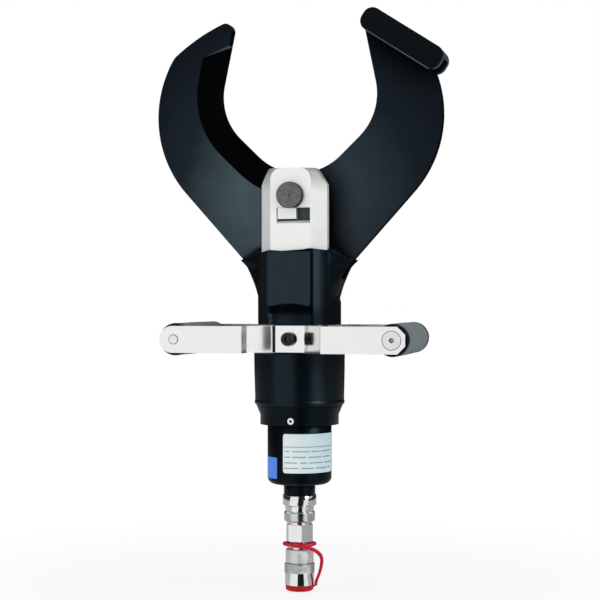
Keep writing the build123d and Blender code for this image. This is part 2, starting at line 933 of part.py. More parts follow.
# Left blade: bevelled plate, pivot boss, and a thinned tail with the cam slot
bush_outer = pin_radius + shaft_play + bush_wall
rebate_half = cheek_half_width + cheek_clear
tail_end = pin_height - cam_start - 2 * cam_lug_half
rebate_side = ear_half_width + 2 * cam_lug_half
with BuildPart() as blade_left:
    extrude(blade_profile.sketch, amount=blade_depth)
    add(bevel.part, mode=Mode.SUBTRACT)
    with Locations((0, -blade_face_gap - blade_depth / 2, pin_height)):
        Cylinder(boss_radius, blade_depth, rotation=(90, 0, 0))
    extrude(cam_slot(blade_plane, cam_lug_half), amount=blade_depth)
    extrude(cam_slot(front_face, rebate_half), amount=tail_thickness - blade_thickness, mode=Mode.SUBTRACT)
    with BuildSketch(front_face):
        with BuildLine():
            Polyline(
                (-rebate_half, cam_low[1]),
                (-rebate_half, tail_end),
                (rebate_side, tail_end),
                (rebate_side, cam_middle[1]),
                cam_high,
                cam_middle,
                cam_low,
                close=True,
            )
        make_face()
    extrude(amount=tail_thickness - blade_thickness, mode=Mode.SUBTRACT)
    extrude(cam_slot(Plane.XZ, cam_slot_half), amount=blade_thickness, mode=Mode.SUBTRACT)
    with Locations((ear_half_width + cam_lug_overhang, 0, pin_height)):
        Box(
            tip_radius,
            4 * blade_thickness,
            2 * tip_radius,
            align=(Align.MIN, Align.CENTER, Align.CENTER),
            mode=Mode.SUBTRACT,
        )
    with Locations((0, 0, pin_height)):
        Cylinder(bush_outer, 4 * blade_thickness, rotation=(90, 0, 0), mode=Mode.SUBTRACT)

# Blade guide: a slotted block over the tip of the right blade
guide_turn = math.radians(guide_angle)
guide_plane = Plane(
    origin=(0, 0, pin_height),
    x_dir=(math.cos(guide_turn), 0, -math.sin(guide_turn)),
    z_dir=(0, -1, 0),
)
guide_slot_front = blade_thickness + slide_gap
guide_slot_rear = blade_thickness + shaft_play
guide_depth = guide_slot_front + guide_slot_rear + 2 * guide_plate
guide_rear = guide_slot_rear + guide_plate
guide_middle = (guide_trail - guide_lead) / 2
guide_inner = tip_radius - guide_lap
guide_outer = tip_radius + guide_tip_gap + guide_web
screw_radial = tip_radius - guide_screw_inset
screw_places = [(-guide_screw_lead, screw_radial), (guide_screw_trail, screw_radial)]
screw_plane = guide_plane.offset(-guide_rear)
with BuildPart() as blade_guide:
    with BuildSketch(guide_plane.offset(-guide_rear)):
        with Locations((guide_middle, (guide_inner + guide_outer) / 2)):
            RectangleRounded(guide_lead + guide_trail, guide_outer - guide_inner, guide_corner)
    extrude(amount=guide_depth)
    with BuildSketch(guide_plane.offset(-guide_slot_rear)):
        with Locations((guide_middle, 0)):
            Rectangle(
                2 * (guide_lead + guide_trail),
                tip_radius + guide_tip_gap,
                align=(Align.CENTER, Align.MIN),
            )
    extrude(amount=guide_slot_rear + guide_slot_front, mode=Mode.SUBTRACT)
    with BuildSketch(screw_plane):
        with Locations(*screw_places):
            Circle(guide_screw_radius + seat_gap)
    extrude(amount=guide_plate, mode=Mode.SUBTRACT)
    with BuildSketch(screw_plane):
        with Locations(*screw_places):
            Circle(guide_screw_head_radius + seat_gap)
    extrude(amount=guide_screw_head_depth, taper=45, mode=Mode.SUBTRACT)

with BuildPart() as guide_screws:
    with BuildSketch(screw_plane):
        with Locations(*screw_places):
            Circle(guide_screw_radius)
    extrude(amount=guide_screw_length)
    with BuildSketch(screw_plane):
        with Locations(*screw_places):
            Circle(guide_screw_head_radius)
    extrude(amount=guide_screw_head_depth, taper=45)
    with BuildSketch(screw_plane):
        with Locations(*screw_places):
            RegularPolygon(guide_screw_radius * 2 / 3, 6)
    extrude(amount=guide_screw_head_depth * 2 / 3, mode=Mode.SUBTRACT)

with BuildPart() as blade_right:
    add(blade_left.part, rotation=(0, 0, 180))
    with BuildSketch(screw_plane):
        with Locations(*screw_places):
            Circle(guide_screw_radius + seat_gap)
    extrude(amount=guide_screw_length + seat_gap, mode=Mode.SUBTRACT)

# Plain bushes pressed in the blades and washers between blades and ears
bush_length = blade_depth - slide_gap
with BuildPart() as bush_left:
    with Locations((0, -blade_face_gap - blade_depth / 2, pin_height)):
        Cylinder(bush_outer - seat_gap, bush_length, rotation=(90, 0, 0))
        Cylinder(pin_radius + shaft_play, bush_length, rotation=(90, 0, 0), mode=Mode.SUBTRACT)

with BuildPart() as bush_right:
    add(bush_left.part, rotation=(0, 0, 180))

washer_middle = ear_inner - shaft_play - washer_thickness / 2
with BuildPart() as thrust_washers:
    with Locations((0, -washer_middle, pin_height), (0, washer_middle, pin_height)):
        Cylinder(washer_radius, washer_thickness, rotation=(90, 0, 0))
        Cylinder(pin_radius + shaft_play, washer_thickness, rotation=(90, 0, 0), mode=Mode.SUBTRACT)

# Clevis
ear_bottom = base_top - ear_root
chamfer_back = ear_front - ear_chamfer_depth
ear_side_chamfer = ear_half_width - ear_flat_half_width


def ear_arch(plane, grow):
    with BuildSketch(plane) as drawn:
        with Locations((0, ear_bottom)):
            Rectangle(
                2 * (ear_flat_half_width + grow),
                ear_top - ear_bottom + grow,
                align=(Align.CENTER, Align.MIN),
            )
        fillet(drawn.vertices().group_by(Axis.Y)[-1], ear_corner_radius + grow)
    return drawn.sketch


with BuildPart() as ears:
    loft(
        [
            ear_arch(Plane.XZ.offset(ear_front), 0),
            ear_arch(Plane.XZ.offset(chamfer_back), ear_side_chamfer),
        ],
        ruled=True,
    )
    extrude(
        ear_arch(Plane.XZ.offset(ear_inner), ear_side_chamfer), amount=chamfer_back - ear_inner
    )
    with BuildSketch(Plane.XZ.offset(ear_inner)):
        with BuildLine():
            Polyline(
                (-ear_half_width, ear_bottom),
                (-ear_half_width, ear_top - ear_slant_drop),
                (-ear_half_width + ear_slant_run, ear_top),
                (ear_half_width - ear_slant_run, ear_top),
                (ear_half_width, ear_top - ear_slant_drop),
                (ear_half_width, ear_bottom),
                close=True,
            )
        make_face()
    extrude(amount=ear_front - ear_inner, mode=Mode.INTERSECT)
    mirror(about=Plane.XZ)

rod_way = rod_radius + rod_way_gap
gland_top = spigot_bottom + gland_length
pocket_top = pin_height - pin_flat_drop + seat_gap
pocket_bottom = pocket_top - pocket_height
pocket_back = ear_front - pocket_depth
with BuildPart() as clevis:
    revolve(
        outline(
            [
                (0, spigot_bottom),
                (spigot_radius, spigot_bottom),
                (spigot_radius, barrel_top),
                (waist_radius, barrel_top),
                (waist_radius, base_bottom),
                (base_radius, base_bottom),
                (base_radius, base_top),
                (0, base_top),
            ]
        ),
        axis=Axis.Z,
    )
    with Locations((0, 0, handle_height)):
        Box(2 * boss_half_width, 2 * handle_rear_face, bar_height)
    add(ears.part)
    with Locations((0, 0, slot_floor)):
        Box(
            4 * ear_half_width,
            2 * ear_inner,
            pin_height,
            align=(Align.CENTER, Align.CENTER, Align.MIN),
            mode=Mode.SUBTRACT,
        )
    revolve(ring_section(0, rod_way, spigot_bottom, slot_floor), axis=Axis.Z, mode=Mode.SUBTRACT)
    revolve(ring_section(0, gland_radius, spigot_bottom, gland_top), axis=Axis.Z, mode=Mode.SUBTRACT)
    revolve(
        ring_section(0, wiper_radius, slot_floor - wiper_length, slot_floor),
        axis=Axis.Z,
        mode=Mode.SUBTRACT,
    )
    with Locations((0, 0, pin_height)):
        Cylinder(pin_radius + seat_gap, 4 * ear_front, rotation=(90, 0, 0), mode=Mode.SUBTRACT)
    with BuildSketch(Plane.YZ.offset(-pocket_left)):
        with BuildLine():
            Polyline(
                (-ear_front, pocket_bottom),
                (-pocket_back, pocket_bottom + pocket_ramp),
                (-pocket_back, pocket_top),
                (-ear_front, pocket_top),
                close=True,
            )
        make_face()
    extrude(amount=pocket_left + ear_flat_half_width - pocket_rim, mode=Mode.SUBTRACT)
    with BuildSketch(Plane.XZ.offset(handle_rear_face)):
        with Locations((0, handle_height)):
            Circle(cap_screw_radius + seat_gap)
    extrude(amount=-(cap_screw_length - bar_thickness + seat_gap), mode=Mode.SUBTRACT)
    with BuildSketch(Plane.XZ.offset(-handle_rear_face)):
        with Locations((0, handle_height)):
            Circle(cap_screw_radius + seat_gap)
    extrude(amount=cap_screw_length - bar_thickness + seat_gap, mode=Mode.SUBTRACT)

# Pivot pin: headed at the rear, flatted at the front for its keeper
pin_front = ear_front + pin_proud
with BuildPart() as pivot_pin:
    with BuildSketch(Plane.XZ.offset(-ear_front)):
        with Locations((0, pin_height)):
            Circle(pin_radius)
    extrude(amount=ear_front + pin_front)
    chamfer(pivot_pin.edges().group_by(Axis.Y)[0], pin_edge)
    with BuildSketch(Plane.XZ.offset(-ear_front)):
        with Locations((0, pin_height)):
            Circle(pin_head_radius)
    extrude(amount=-pin_head_length)
    with Locations((0, -pocket_back, pin_height - pin_flat_drop)):
        Box(
            4 * pin_radius,
            2 * pocket_depth + pin_front,
            pin_radius,
            align=(Align.CENTER, Align.MAX, Align.MAX),
            mode=Mode.SUBTRACT,
        )
    with BuildSketch(Plane.XZ.offset(pin_front)):
        with Locations((0, pin_height)):
            Circle(pin_centre_mark)
    extrude(amount=-pin_centre_mark / 2, taper=30, mode=Mode.SUBTRACT)

with BuildPart() as pin_keeper:
    with Locations((keeper_shift, -pocket_back - seat_gap, pin_height - pin_flat_drop)):
        Box(
            keeper_width,
            pocket_depth - keeper_recess,
            keeper_height,
            align=(Align.CENTER, Align.MAX, Align.MAX),
        )

# Rod gland and wiper in the clevis
with BuildPart() as gland_bush:
    revolve(
        ring_section(
            rod_radius + shaft_play, gland_radius - seat_gap, spigot_bottom + gland_step, gland_top
        ),
        axis=Axis.Z,
    )

with BuildPart() as rod_wiper:
    revolve(
        ring_section(
            rod_radius + shaft_play,
            wiper_radius - seat_gap,
            slot_floor - wiper_length + seat_gap,
            slot_floor - slide_gap,
        ),
        axis=Axis.Z,
    )

# Handle bars: a strip bent out from the clevis bosses to the grips, stepped forward at the front
front_path = [
    (hat_half_width, -hat_front),
    (step_reach, -step_front),
    (step_reach + step_lean, -outer_arm_front),
]
rear_path = [
    (hat_half_width, -hat_front),
    (step_reach, -rear_arm_face),
]
screw_seat = Plane(origin=(grip_reach, -outer_arm_front, handle_height), z_dir=(0, -1, 0))


def bent_bar(half_path, round_reach):
    arm_face = half_path[-1][1]
    ends = [(-grip_reach - bar_round_reach, arm_face), (grip_reach + bar_end_reach, arm_face)]
    path = ends[:1] + [(-x, y) for x, y in reversed(half_path)] + half_path + ends[1:]
    with BuildPart() as bar:
        with BuildSketch(Plane.XY.offset(bar_bottom)):
            with BuildLine() as face_line:
                Polyline(*path)
                corners = face_line.vertices().filter_by_position(Axis.X, -round_reach, round_reach)
                fillet(corners, hat_bend)
                offset(amount=bar_thickness, kind=Kind.INTERSECTION, side=Side.LEFT)
            make_face()
        extrude(amount=bar_height)
        fillet(bar.edges().filter_by(Axis.Y).group_by(Axis.X)[0], bar_height / 2 - slide_gap)
        chamfer(bar.edges().filter_by(Axis.Y).group_by(Axis.X)[-1], bar_end_chamfer)
        with Locations((0, -hat_front, handle_height)):
            Cylinder(
                cap_screw_radius + seat_gap, 4 * bar_thickness, rotation=(90, 0, 0), mode=Mode.SUBTRACT
            )
        with Locations((-grip_reach, arm_face, handle_height)):
            Cylinder(
                rod_rivet_radius + seat_gap, 4 * bar_thickness, rotation=(90, 0, 0), mode=Mode.SUBTRACT
            )
        with Locations(Plane(origin=(grip_reach, arm_face, handle_height), z_dir=(0, -1, 0))):
            CounterSinkHole(
                end_screw_radius + seat_gap, end_screw_head_radius + seat_gap, 2 * bar_thickness, 90
            )
    return bar.part


with BuildPart() as handle_bar_front:
    add(bent_bar(front_path, hat_half_width + slide_gap))
    upright = handle_bar_front.edges().filter_by(Axis.Z)
    step_far = step_reach + 2 * bar_thickness
    step_near = hat_half_width + hat_bend
    fillet(upright.filter_by_position(Axis.X, step_near, step_far), bar_edge)
    upright = handle_bar_front.edges().filter_by(Axis.Z)
    fillet(upright.filter_by_position(Axis.X, -step_far, -step_near), bar_edge)

with BuildPart() as handle_bar_rear:
    add(bent_bar(rear_path, step_reach + slide_gap), rotation=(0, 0, 180))

with BuildPart() as handle_screws:
    with BuildSketch(Plane.XZ.offset(hat_front)):
        with Locations((0, handle_height)):
            Circle(cap_screw_head_radius)
    extrude(amount=cap_screw_head_length)
    chamfer(handle_screws.edges().group_by(Axis.Y)[0], cap_screw_edge)
    with BuildSketch(Plane.XZ.offset(hat_front)):
        with Locations((0, handle_height)):
            Circle(cap_screw_radius)
    extrude(amount=-cap_screw_length)
    with BuildSketch(Plane.XZ.offset(hat_front + cap_screw_head_length)):
        with Locations((0, handle_height)):
            RegularPolygon(cap_screw_socket_flats / 2, 6, major_radius=False)
    extrude(amount=-cap_screw_socket_depth, mode=Mode.SUBTRACT)
    add(handle_screws.part, rotation=(0, 0, 180))

# Grips on rods between the two bars: riveted at one end, screwed at the other
rod_place = Location((-grip_reach, -grip_shift, handle_height))
half_turn = Location((0, -2 * grip_shift, 0), (0, 0, 180))
with BuildPart() as grip_rods:
    with BuildSketch(Plane.XZ.offset(grip_shift - grip_half_length)):
        with Locations((-grip_reach, handle_height)):
            Circle(rod_pin_radius)
    extrude(amount=2 * grip_half_length)
    with BuildSketch(Plane.XZ.offset(grip_shift + grip_half_length)):
        with Locations((-grip_reach, handle_height)):
            Circle(rod_rivet_radius)
    extrude(amount=bar_thickness + rivet_proud)
    with BuildSketch(Plane.XZ.offset(grip_shift - grip_half_length)):
        with Locations((-grip_reach, handle_height)):
            Circle(end_screw_radius + seat_gap)
    extrude(amount=end_screw_length - bar_thickness + seat_gap, mode=Mode.SUBTRACT)
    add(half_turn * grip_rods.part)

with BuildPart() as grip_end_screws:
    with BuildSketch(screw_seat):
        Circle(end_screw_radius)
    extrude(amount=-end_screw_length)
    with BuildSketch(screw_seat):
        Circle(end_screw_head_radius)
    extrude(amount=-end_screw_head_depth, taper=45)
    with BuildSketch(screw_seat):
        RegularPolygon(end_screw_socket, 6)
    extrude(amount=-end_screw_socket, mode=Mode.SUBTRACT)
    add(half_turn * grip_end_screws.part)

grip_tube_half = grip_half_length - grip_ring_length
grip_edge = grip_ring_length / 3
with BuildPart() as grip_left:
    with Locations(rod_place):
        Cylinder(grip_radius, 2 * grip_tube_half, rotation=(90, 0, 0))
        Cylinder(rod_pin_radius + seat_gap, 2 * grip_tube_half, rotation=(90, 0, 0), mode=Mode.SUBTRACT)

with BuildPart() as grip_right:
    add(half_turn * grip_left.part)

with BuildPart() as grip_end_rings:
    for side in (-1, 1):
        with BuildSketch(Plane.XZ.offset(grip_shift + side * grip_half_length)):
            with Locations((-grip_reach, handle_height), (grip_reach, handle_height)):
                Circle(grip_end_radius)
                Circle(rod_pin_radius + seat_gap, mode=Mode.SUBTRACT)
        extrude(amount=-side * grip_ring_length)

# Rubber boot: a tube that swells over the ears, with flat panels and open flaps beside the blade tails
boot_radius = base_radius + boot_gap + boot_wall
boot_foot = bar_top + boot_foot_gap
boot_top = pin_height - boot_drop
boot_round_top = base_top + boot_round_rise
swell_radius = boot_radius + boot_swell
flank = ear_half_width + boot_gap + boot_wall
panel_half_width = ear_flat_half_width + boot_panel_side
panel_face = ear_front + boot_gap + boot_wall
flap_face = blade_thickness + boot_gap
side_top = boot_top - boot_side_drop
heel_height = pin_height - heel_drop
flap_shift = (boot_gap + boot_side_wall) / math.sin(heel_slope)


def flap_edge(height):
    return heel_reach + (height - heel_height) / math.tan(heel_slope) + flap_shift, height


ear_plan = [
    (-ear_flat_half_width, -ear_front),
    (ear_flat_half_width, -ear_front),
    (ear_half_width, -chamfer_back),
    (ear_half_width, chamfer_back),
    (ear_flat_half_width, ear_front),
    (-ear_flat_half_width, ear_front),
    (-ear_half_width, chamfer_back),
    (-ear_half_width, -chamfer_back),
]


def boot_plan(height, grow):
    with BuildSketch(Plane.XY.offset(height)) as drawn:
        with BuildLine():
            Polyline(*ear_plan, close=True)
        make_face()
        offset(amount=grow, kind=Kind.INTERSECTION)
    return drawn.sketch


flap = [
    (0, boot_top),
    (ear_half_width + boot_gap + boot_wall, boot_top),
    flap_edge(side_top),
    flap_edge(heel_height - boot_wall),
    (boot_radius + boot_flank_bulge, heel_height - boot_flank_drop),
    (boot_radius, boot_round_top),
    (0, ear_bottom),
]


def boot_body(wall, top):
    with BuildPart() as body:
        with BuildSketch(Plane.XY.offset(boot_foot)):
            Circle(swell_radius - wall)
            Rectangle(2 * (flank - wall), 2 * (panel_face - wall), mode=Mode.INTERSECT)
        extrude(amount=top - boot_foot)
        swelling = [
            (0, boot_foot),
            (boot_radius - wall, boot_foot),
            (boot_radius - wall, ear_bottom - boot_swell_rise),
            (swell_radius - wall, ear_bottom),
            (swell_radius - wall, top),
            (0, top),
        ]
        revolve(outline(swelling), axis=Axis.Z, mode=Mode.INTERSECT)
        revolve(ring_section(0, boot_radius - wall, boot_foot, boot_round_top - wall), axis=Axis.Z)
    return body.part


with BuildPart() as rubber_boot:
    add(boot_body(0, boot_top))
    with BuildSketch(Plane.XY.offset(ear_bottom)):
        RectangleRounded(2 * panel_half_width, 2 * panel_face, boot_panel_side)
    extrude(amount=boot_top - ear_bottom)
    for side in (-1, 1):
        flap_corners = [(side * x, z) for x, z in flap]
        extrude(outline(flap_corners), amount=flap_face + boot_wall, both=True)
    add(boot_body(boot_wall, ear_top), mode=Mode.SUBTRACT)
    extrude(boot_plan(ear_bottom - boot_gap, boot_gap), amount=ear_top - ear_bottom, mode=Mode.SUBTRACT)
    with Locations((0, 0, pin_height)):
        Cylinder(tail_reach + boot_gap, 2 * flap_face, rotation=(90, 0, 0), mode=Mode.SUBTRACT)

pieces = {
    "coupler_body": coupler_body,
    "poppet": poppet,
    "poppet_spring": poppet_spring,
    "coupler_sleeve": coupler_sleeve,
    "coupler_collar": coupler_collar,
    "dust_cap": dust_cap,
    "cap_strap": cap_strap,
    "hose_nipple": hose_nipple,
    "swivel_ring": swivel_ring,
    "neck_adapter": neck_adapter,
    "end_cap": end_cap,
    "end_cap_seal": end_cap_seal,
    "barrel": barrel,
    "lock_screw": lock_screw,
    "barrel_sleeve": barrel_sleeve,
    "piston": piston,
    "piston_seal": piston_seal,
    "piston_guide_ring": piston_guide_ring,
    "piston_rod": piston_rod,
    "return_spring": return_spring,
    "crosshead": crosshead,
    "cam_pin": cam_pin,
    "blade_left": blade_left,
    "blade_right": blade_right,
    "bush_left": bush_left,
    "bush_right": bush_right,
    "blade_guide": blade_guide,
    "guide_screws": guide_screws,
    "thrust_washers": thrust_washers,
    "clevis": clevis,
    "pivot_pin": pivot_pin,
    "pin_keeper": pin_keeper,
    "gland_bush": gland_bush,
    "rod_wiper": rod_wiper,
    "handle_bar_front": handle_bar_front,
    "handle_bar_rear": handle_bar_rear,
    "handle_screws": handle_screws,
    "grip_rods": grip_rods,
    "grip_end_screws": grip_end_screws,
    "grip_left": grip_left,
    "grip_right": grip_right,
    "grip_end_rings": grip_end_rings,
    "rubber_boot": rubber_boot,
}
for node, piece in pieces.items():
    piece.part.label = node
    export_step(piece.part, f"parts/{node}.step")
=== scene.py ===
import math
from functools import partial

import bmesh
import bpy
import numpy as np
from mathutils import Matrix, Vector


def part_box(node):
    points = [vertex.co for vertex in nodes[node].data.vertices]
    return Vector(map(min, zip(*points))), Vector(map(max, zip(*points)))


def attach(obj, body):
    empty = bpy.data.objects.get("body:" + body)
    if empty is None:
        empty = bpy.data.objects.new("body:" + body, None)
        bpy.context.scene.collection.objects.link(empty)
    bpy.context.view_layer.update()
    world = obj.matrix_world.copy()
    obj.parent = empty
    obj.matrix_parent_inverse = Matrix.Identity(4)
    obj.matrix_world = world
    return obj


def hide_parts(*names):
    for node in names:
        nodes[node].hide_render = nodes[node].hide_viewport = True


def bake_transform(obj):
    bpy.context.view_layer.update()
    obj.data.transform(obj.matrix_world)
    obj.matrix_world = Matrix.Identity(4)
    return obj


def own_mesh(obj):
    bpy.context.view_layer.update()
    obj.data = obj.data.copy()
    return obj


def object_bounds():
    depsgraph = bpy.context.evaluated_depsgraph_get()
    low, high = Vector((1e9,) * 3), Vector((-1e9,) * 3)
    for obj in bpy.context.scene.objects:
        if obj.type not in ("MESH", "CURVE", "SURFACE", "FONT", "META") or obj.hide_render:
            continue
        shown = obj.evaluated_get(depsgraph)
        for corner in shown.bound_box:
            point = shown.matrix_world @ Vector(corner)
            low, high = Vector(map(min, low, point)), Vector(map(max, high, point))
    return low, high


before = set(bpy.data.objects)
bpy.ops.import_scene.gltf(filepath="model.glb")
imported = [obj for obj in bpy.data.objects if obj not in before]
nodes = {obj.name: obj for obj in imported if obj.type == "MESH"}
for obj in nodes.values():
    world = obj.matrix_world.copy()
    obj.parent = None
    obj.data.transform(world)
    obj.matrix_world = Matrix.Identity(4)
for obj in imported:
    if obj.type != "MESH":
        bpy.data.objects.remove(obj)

cadBox = [list(corner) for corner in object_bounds()]  # the CAD model's own box
scene = bpy.context.scene
mm = 0.001
print("frame loaded,", len(nodes), "nodes")


# helpers for materials

def linear(colour):  # sRGB hex to linear colour; a number is an even linear grey
    if not isinstance(colour, str):
        return (colour, colour, colour, 1.0)
    channels = [int(colour[i:i + 2], 16) / 255 for i in (1, 3, 5)]
    bent = [c / 12.92 if c <= 0.04045 else ((c + 0.055) / 1.055) ** 2.4 for c in channels]
    return (*bent, 1.0)


def perMetre(sizeInMm):  # noise scale whose cells are that many millimetres wide
    return 1.0 / (sizeInMm * mm)


def setNode(node, values):  # settings, hex colours among them, and the nodes and sockets that feed it
    for name, value in values.items():
        if isinstance(value, bpy.types.Node):  # a node stands for its first output in use
            value = next(socket for socket in value.outputs if socket.enabled)
        if isinstance(value, bpy.types.NodeSocket):
            node.id_data.links.new(value, node.inputs[name])
        elif name == "stops":  # places and colours of a ramp
            ramp = node.color_ramp.elements
            while len(ramp) < len(value):
                ramp.new(0.5)
            for stop, (place, colour) in zip(ramp, value):
                stop.position = place
                stop.color = linear(colour)
        elif isinstance(name, int) or name in node.inputs:
            node.inputs[name].default_value = linear(value) if isinstance(value, str) else value
        else:
            setattr(node, name, value)
    return node


def addNode(tree, kind, values=None):  # one node with its settings and links
    return setNode(tree.nodes.new("ShaderNode" + kind), values or {})


def newMaterial(name):  # a material, the function that adds to it, its shader and the shaded place
    material = bpy.data.materials.new(name)
    material.use_nodes = True
    material.node_tree.nodes.clear()
    add = partial(addNode, material.node_tree)
    shader = add("BsdfPrincipled")
    add("OutputMaterial", {"Surface": shader})
    return material, add, shader, add("TexCoord").outputs["Object"]


def seenDirectly(add):  # 1 where the camera, a mirror or clear glass looks
    path = add("LightPath").outputs
    seen = add("Math", {"operation": "MAXIMUM", 0: path["Is Camera Ray"], 1: path["Is Glossy Ray"]})
    return add("Math", {"operation": "MAXIMUM", 0: seen, 1: path["Is Transmission Ray"]})


def spotInMm(add, place):  # x, y and z of the shaded spot in mm
    inMm = add("VectorMath", {"operation": "SCALE", "Scale": 1 / mm, 0: place})
    return add("SeparateXYZ", {0: inMm}).outputs


def softMask(add, *steps, most=1.0):  # product of soft steps, each a measure with its start and end
    mask = None
    for measure, start, end in steps:
        step = add("MapRange", {"From Min": start, "From Max": end, "To Max": most, "Value": measure})
        mask = add("Math", {"operation": "MULTIPLY", 0: mask, 1: step}) if mask else step
    return mask


def squareOn(add, facing):  # how squarely a face looks to the front or the rear
    return add("Math", {"operation": "ABSOLUTE", 0: add("SeparateXYZ", {0: facing}).outputs["Y"]})


def clouds(add, place, cell, colours, places=(0.3, 0.7), **look):  # soft clouds, cell in mm, and their tint
    cloud = add("TexNoise", {"Scale": perMetre(cell), **look, "Vector": place})
    return cloud, add("ValToRGB", {"stops": list(zip(places, colours)), "Fac": cloud})


def shadeInCorners(add, colour, reach, depth, low=0.25, high=0.80):  # painted shade: darkens where other faces come within reach
    near = add("AmbientOcclusion", {"samples": 8, "Distance": reach * mm})
    limits = {"From Min": low, "From Max": high, "To Min": depth}
    free = add("MapRange", {**limits, "Value": near.outputs["AO"]})
    return add("Mix", {"data_type": "RGBA", "blend_type": "MULTIPLY", 0: 1.0, 6: colour, 7: free})


def closeFinish(add, shader, colour, relief, gloss=None, values=None):
    # the last nodes: relief is (source, strength, height in mm) and gloss is (source, least, most)
    source, strength, height = relief
    values = {**(values or {}), "Base Color": colour}
    values["Normal"] = add("Bump", {"Strength": strength, "Distance": height * mm, "Height": source})
    if gloss:
        source, least, most = gloss
        values["Roughness"] = add("MapRange", {"To Min": least, "To Max": most, "Value": source})
    setNode(shader, values)


# helpers for shapes

def makePiece(name, points, faces, material, sharpAngle=35):
    mesh = bpy.data.meshes.new(name)
    mesh.from_pydata([tuple(p) for p in points], [], faces)
    mesh.validate()
    mesh.update()
    mesh.polygons.foreach_set("use_smooth", [True] * len(mesh.polygons))
    mesh.set_sharp_from_angle(angle=math.radians(sharpAngle))
    piece = bpy.data.objects.new(name, mesh)
    scene.collection.objects.link(piece)
    mesh.materials.append(material)
    return piece


def roundedLine(corners, steps=5):  # corners are (a, b, radius), the round ones become arcs
    line = []
    count = len(corners)
    for i, (a, b, radius) in enumerate(corners):
        here = Vector((a, b))
        if radius <= 0:
            line.append(here)
            continue
        before = (Vector(corners[i - 1][:2]) - here).normalized()
        after = (Vector(corners[(i + 1) % count][:2]) - here).normalized()
        half = before.angle(after) / 2
        reach = radius / math.tan(half)
        centre = here + (before + after).normalized() * (radius / math.sin(half))
        first = here + before * reach - centre
        last = here + after * reach - centre
        turn = first.angle_signed(last)
        for k in range(steps + 1):
            part = -turn * k / steps
            c, s = math.cos(part), math.sin(part)
            line.append(centre + Vector((first.x * c - first.y * s, first.x * s + first.y * c)))
    return line


def cutRuns(outline, rows, isLong):  # rows of points on the runs of an outline that isLong picks
    line = []
    for p, after in zip(outline, outline[1:] + outline[:1]):
        line.append(p)
        if isLong(p, after):
            line += [p.lerp(after, k / rows) for k in range(1, rows)]
    return line


def angles(steps):  # a full turn in even steps
    return [2 * math.pi * k / steps for k in range(steps)]


def ringFaces(steps, count, inward=False):  # faces of a closed outline of count points carried round in steps
    faces = []
    for k in range(steps):
        a, b = k * count, (k + 1) % steps * count
        for i in range(count):
            j = (i + 1) % count
            faces.append((a + i, a + j, b + j, b + i) if inward else (a + i, b + i, b + j, a + j))
    return faces


def turned(name, line, material, steps=96, bend=None, sharpAngle=35):
    # a closed line of (radius, height) in mm turned about the tool's axis
    points = []
    for angle in angles(steps):
        for p in line:
            radius, height = bend(p, angle) if bend else p
            points.append((radius * math.cos(angle) * mm, radius * math.sin(angle) * mm, height * mm))
    return makePiece(name, points, ringFaces(steps, len(line)), material, sharpAngle)


def turnedAcross(name, line, centre, material, steps):
    # a closed line of (radius, depth) in mm turned about an axis from front to rear through the centre
    points = []
    for angle in angles(steps):
        c, s = math.cos(angle), math.sin(angle)
        points += [centre + Vector((radius * c, depth, radius * s)) * mm for radius, depth in line]
    return makePiece(name, points, ringFaces(steps, len(line), inward=True), material)


def smoothStep(low, high, x):
    t = np.clip((x - low) / (high - low), 0, 1)
    return t * t * (3 - 2 * t)


def hump(centre, width, x):  # a soft bump of height 1
    return np.exp(-((x - centre) / width) ** 2)


# camera: the photograph is taken a little from the right, level with the handle

cameraSet = {
    "turn": 13.0,  # degrees to the right of straight ahead
    "distance": 1.55, "eyeHeight": 0.288, "lens": 93.0, "sensor": 36.0, "shiftX": 0.0007,
}


def makeCamera():
    c = cameraSet
    turn = math.radians(c["turn"])
    lens = bpy.data.cameras.new("camera")
    lens.lens = c["lens"]
    lens.sensor_width = c["sensor"]
    lens.shift_x = c["shiftX"]
    lens.dof.use_dof = False
    eye = bpy.data.objects.new("camera", lens)
    eye.location = (c["distance"] * math.sin(turn), -c["distance"] * math.cos(turn), c["eyeHeight"])
    eye.rotation_euler = (math.radians(90), 0, turn)
    scene.collection.objects.link(eye)
    scene.camera = eye


makeCamera()
scene.view_settings.view_transform = "Standard"
print("camera set")


# light: a white studio with a large soft lamp from the left front and a weaker one from the right

studio = {
    "worldForLight": 0.62,
    "lamps": [  # name, power, size, place
        ("softBoxLeft", 26.0, 2.4, (-2.2, -2.0, 1.9)),
        ("softBoxRight", 22.0, 2.4, (2.2, -0.8, 1.3)),
    ],
    "aim": (0.0, 0.0, 0.3),
}


def makeWorld():
    world = bpy.data.worlds.new("white studio")
    scene.world = world
    world.use_nodes = True
    world.node_tree.nodes.clear()
    add = partial(addNode, world.node_tree)
    dim = add("Background", {"Color": linear(1.0), "Strength": studio["worldForLight"]})
    white = add("Background", {"Color": linear(1.0), "Strength": 1.0})
    both = add("MixShader", {0: seenDirectly(add), 1: dim, 2: white})
    add("OutputWorld", {"Surface": both})


def makeLamp(name, power, size, place):
    light = bpy.data.lights.new(name, "AREA")
    light.shape = "SQUARE"
    light.size = size
    light.energy = power
    lamp = bpy.data.objects.new(name, light)
    lamp.location = place
    lamp.rotation_euler = (Vector(studio["aim"]) - lamp.location).to_track_quat("-Z", "Y").to_euler()
    lamp.visible_glossy = False  # shiny surfaces see the cards instead
    scene.collection.objects.link(lamp)


makeWorld()
for spec in studio["lamps"]:
    makeLamp(*spec)


# cards round the tool: only shiny surfaces see them, as the bright and dark bands of the photograph

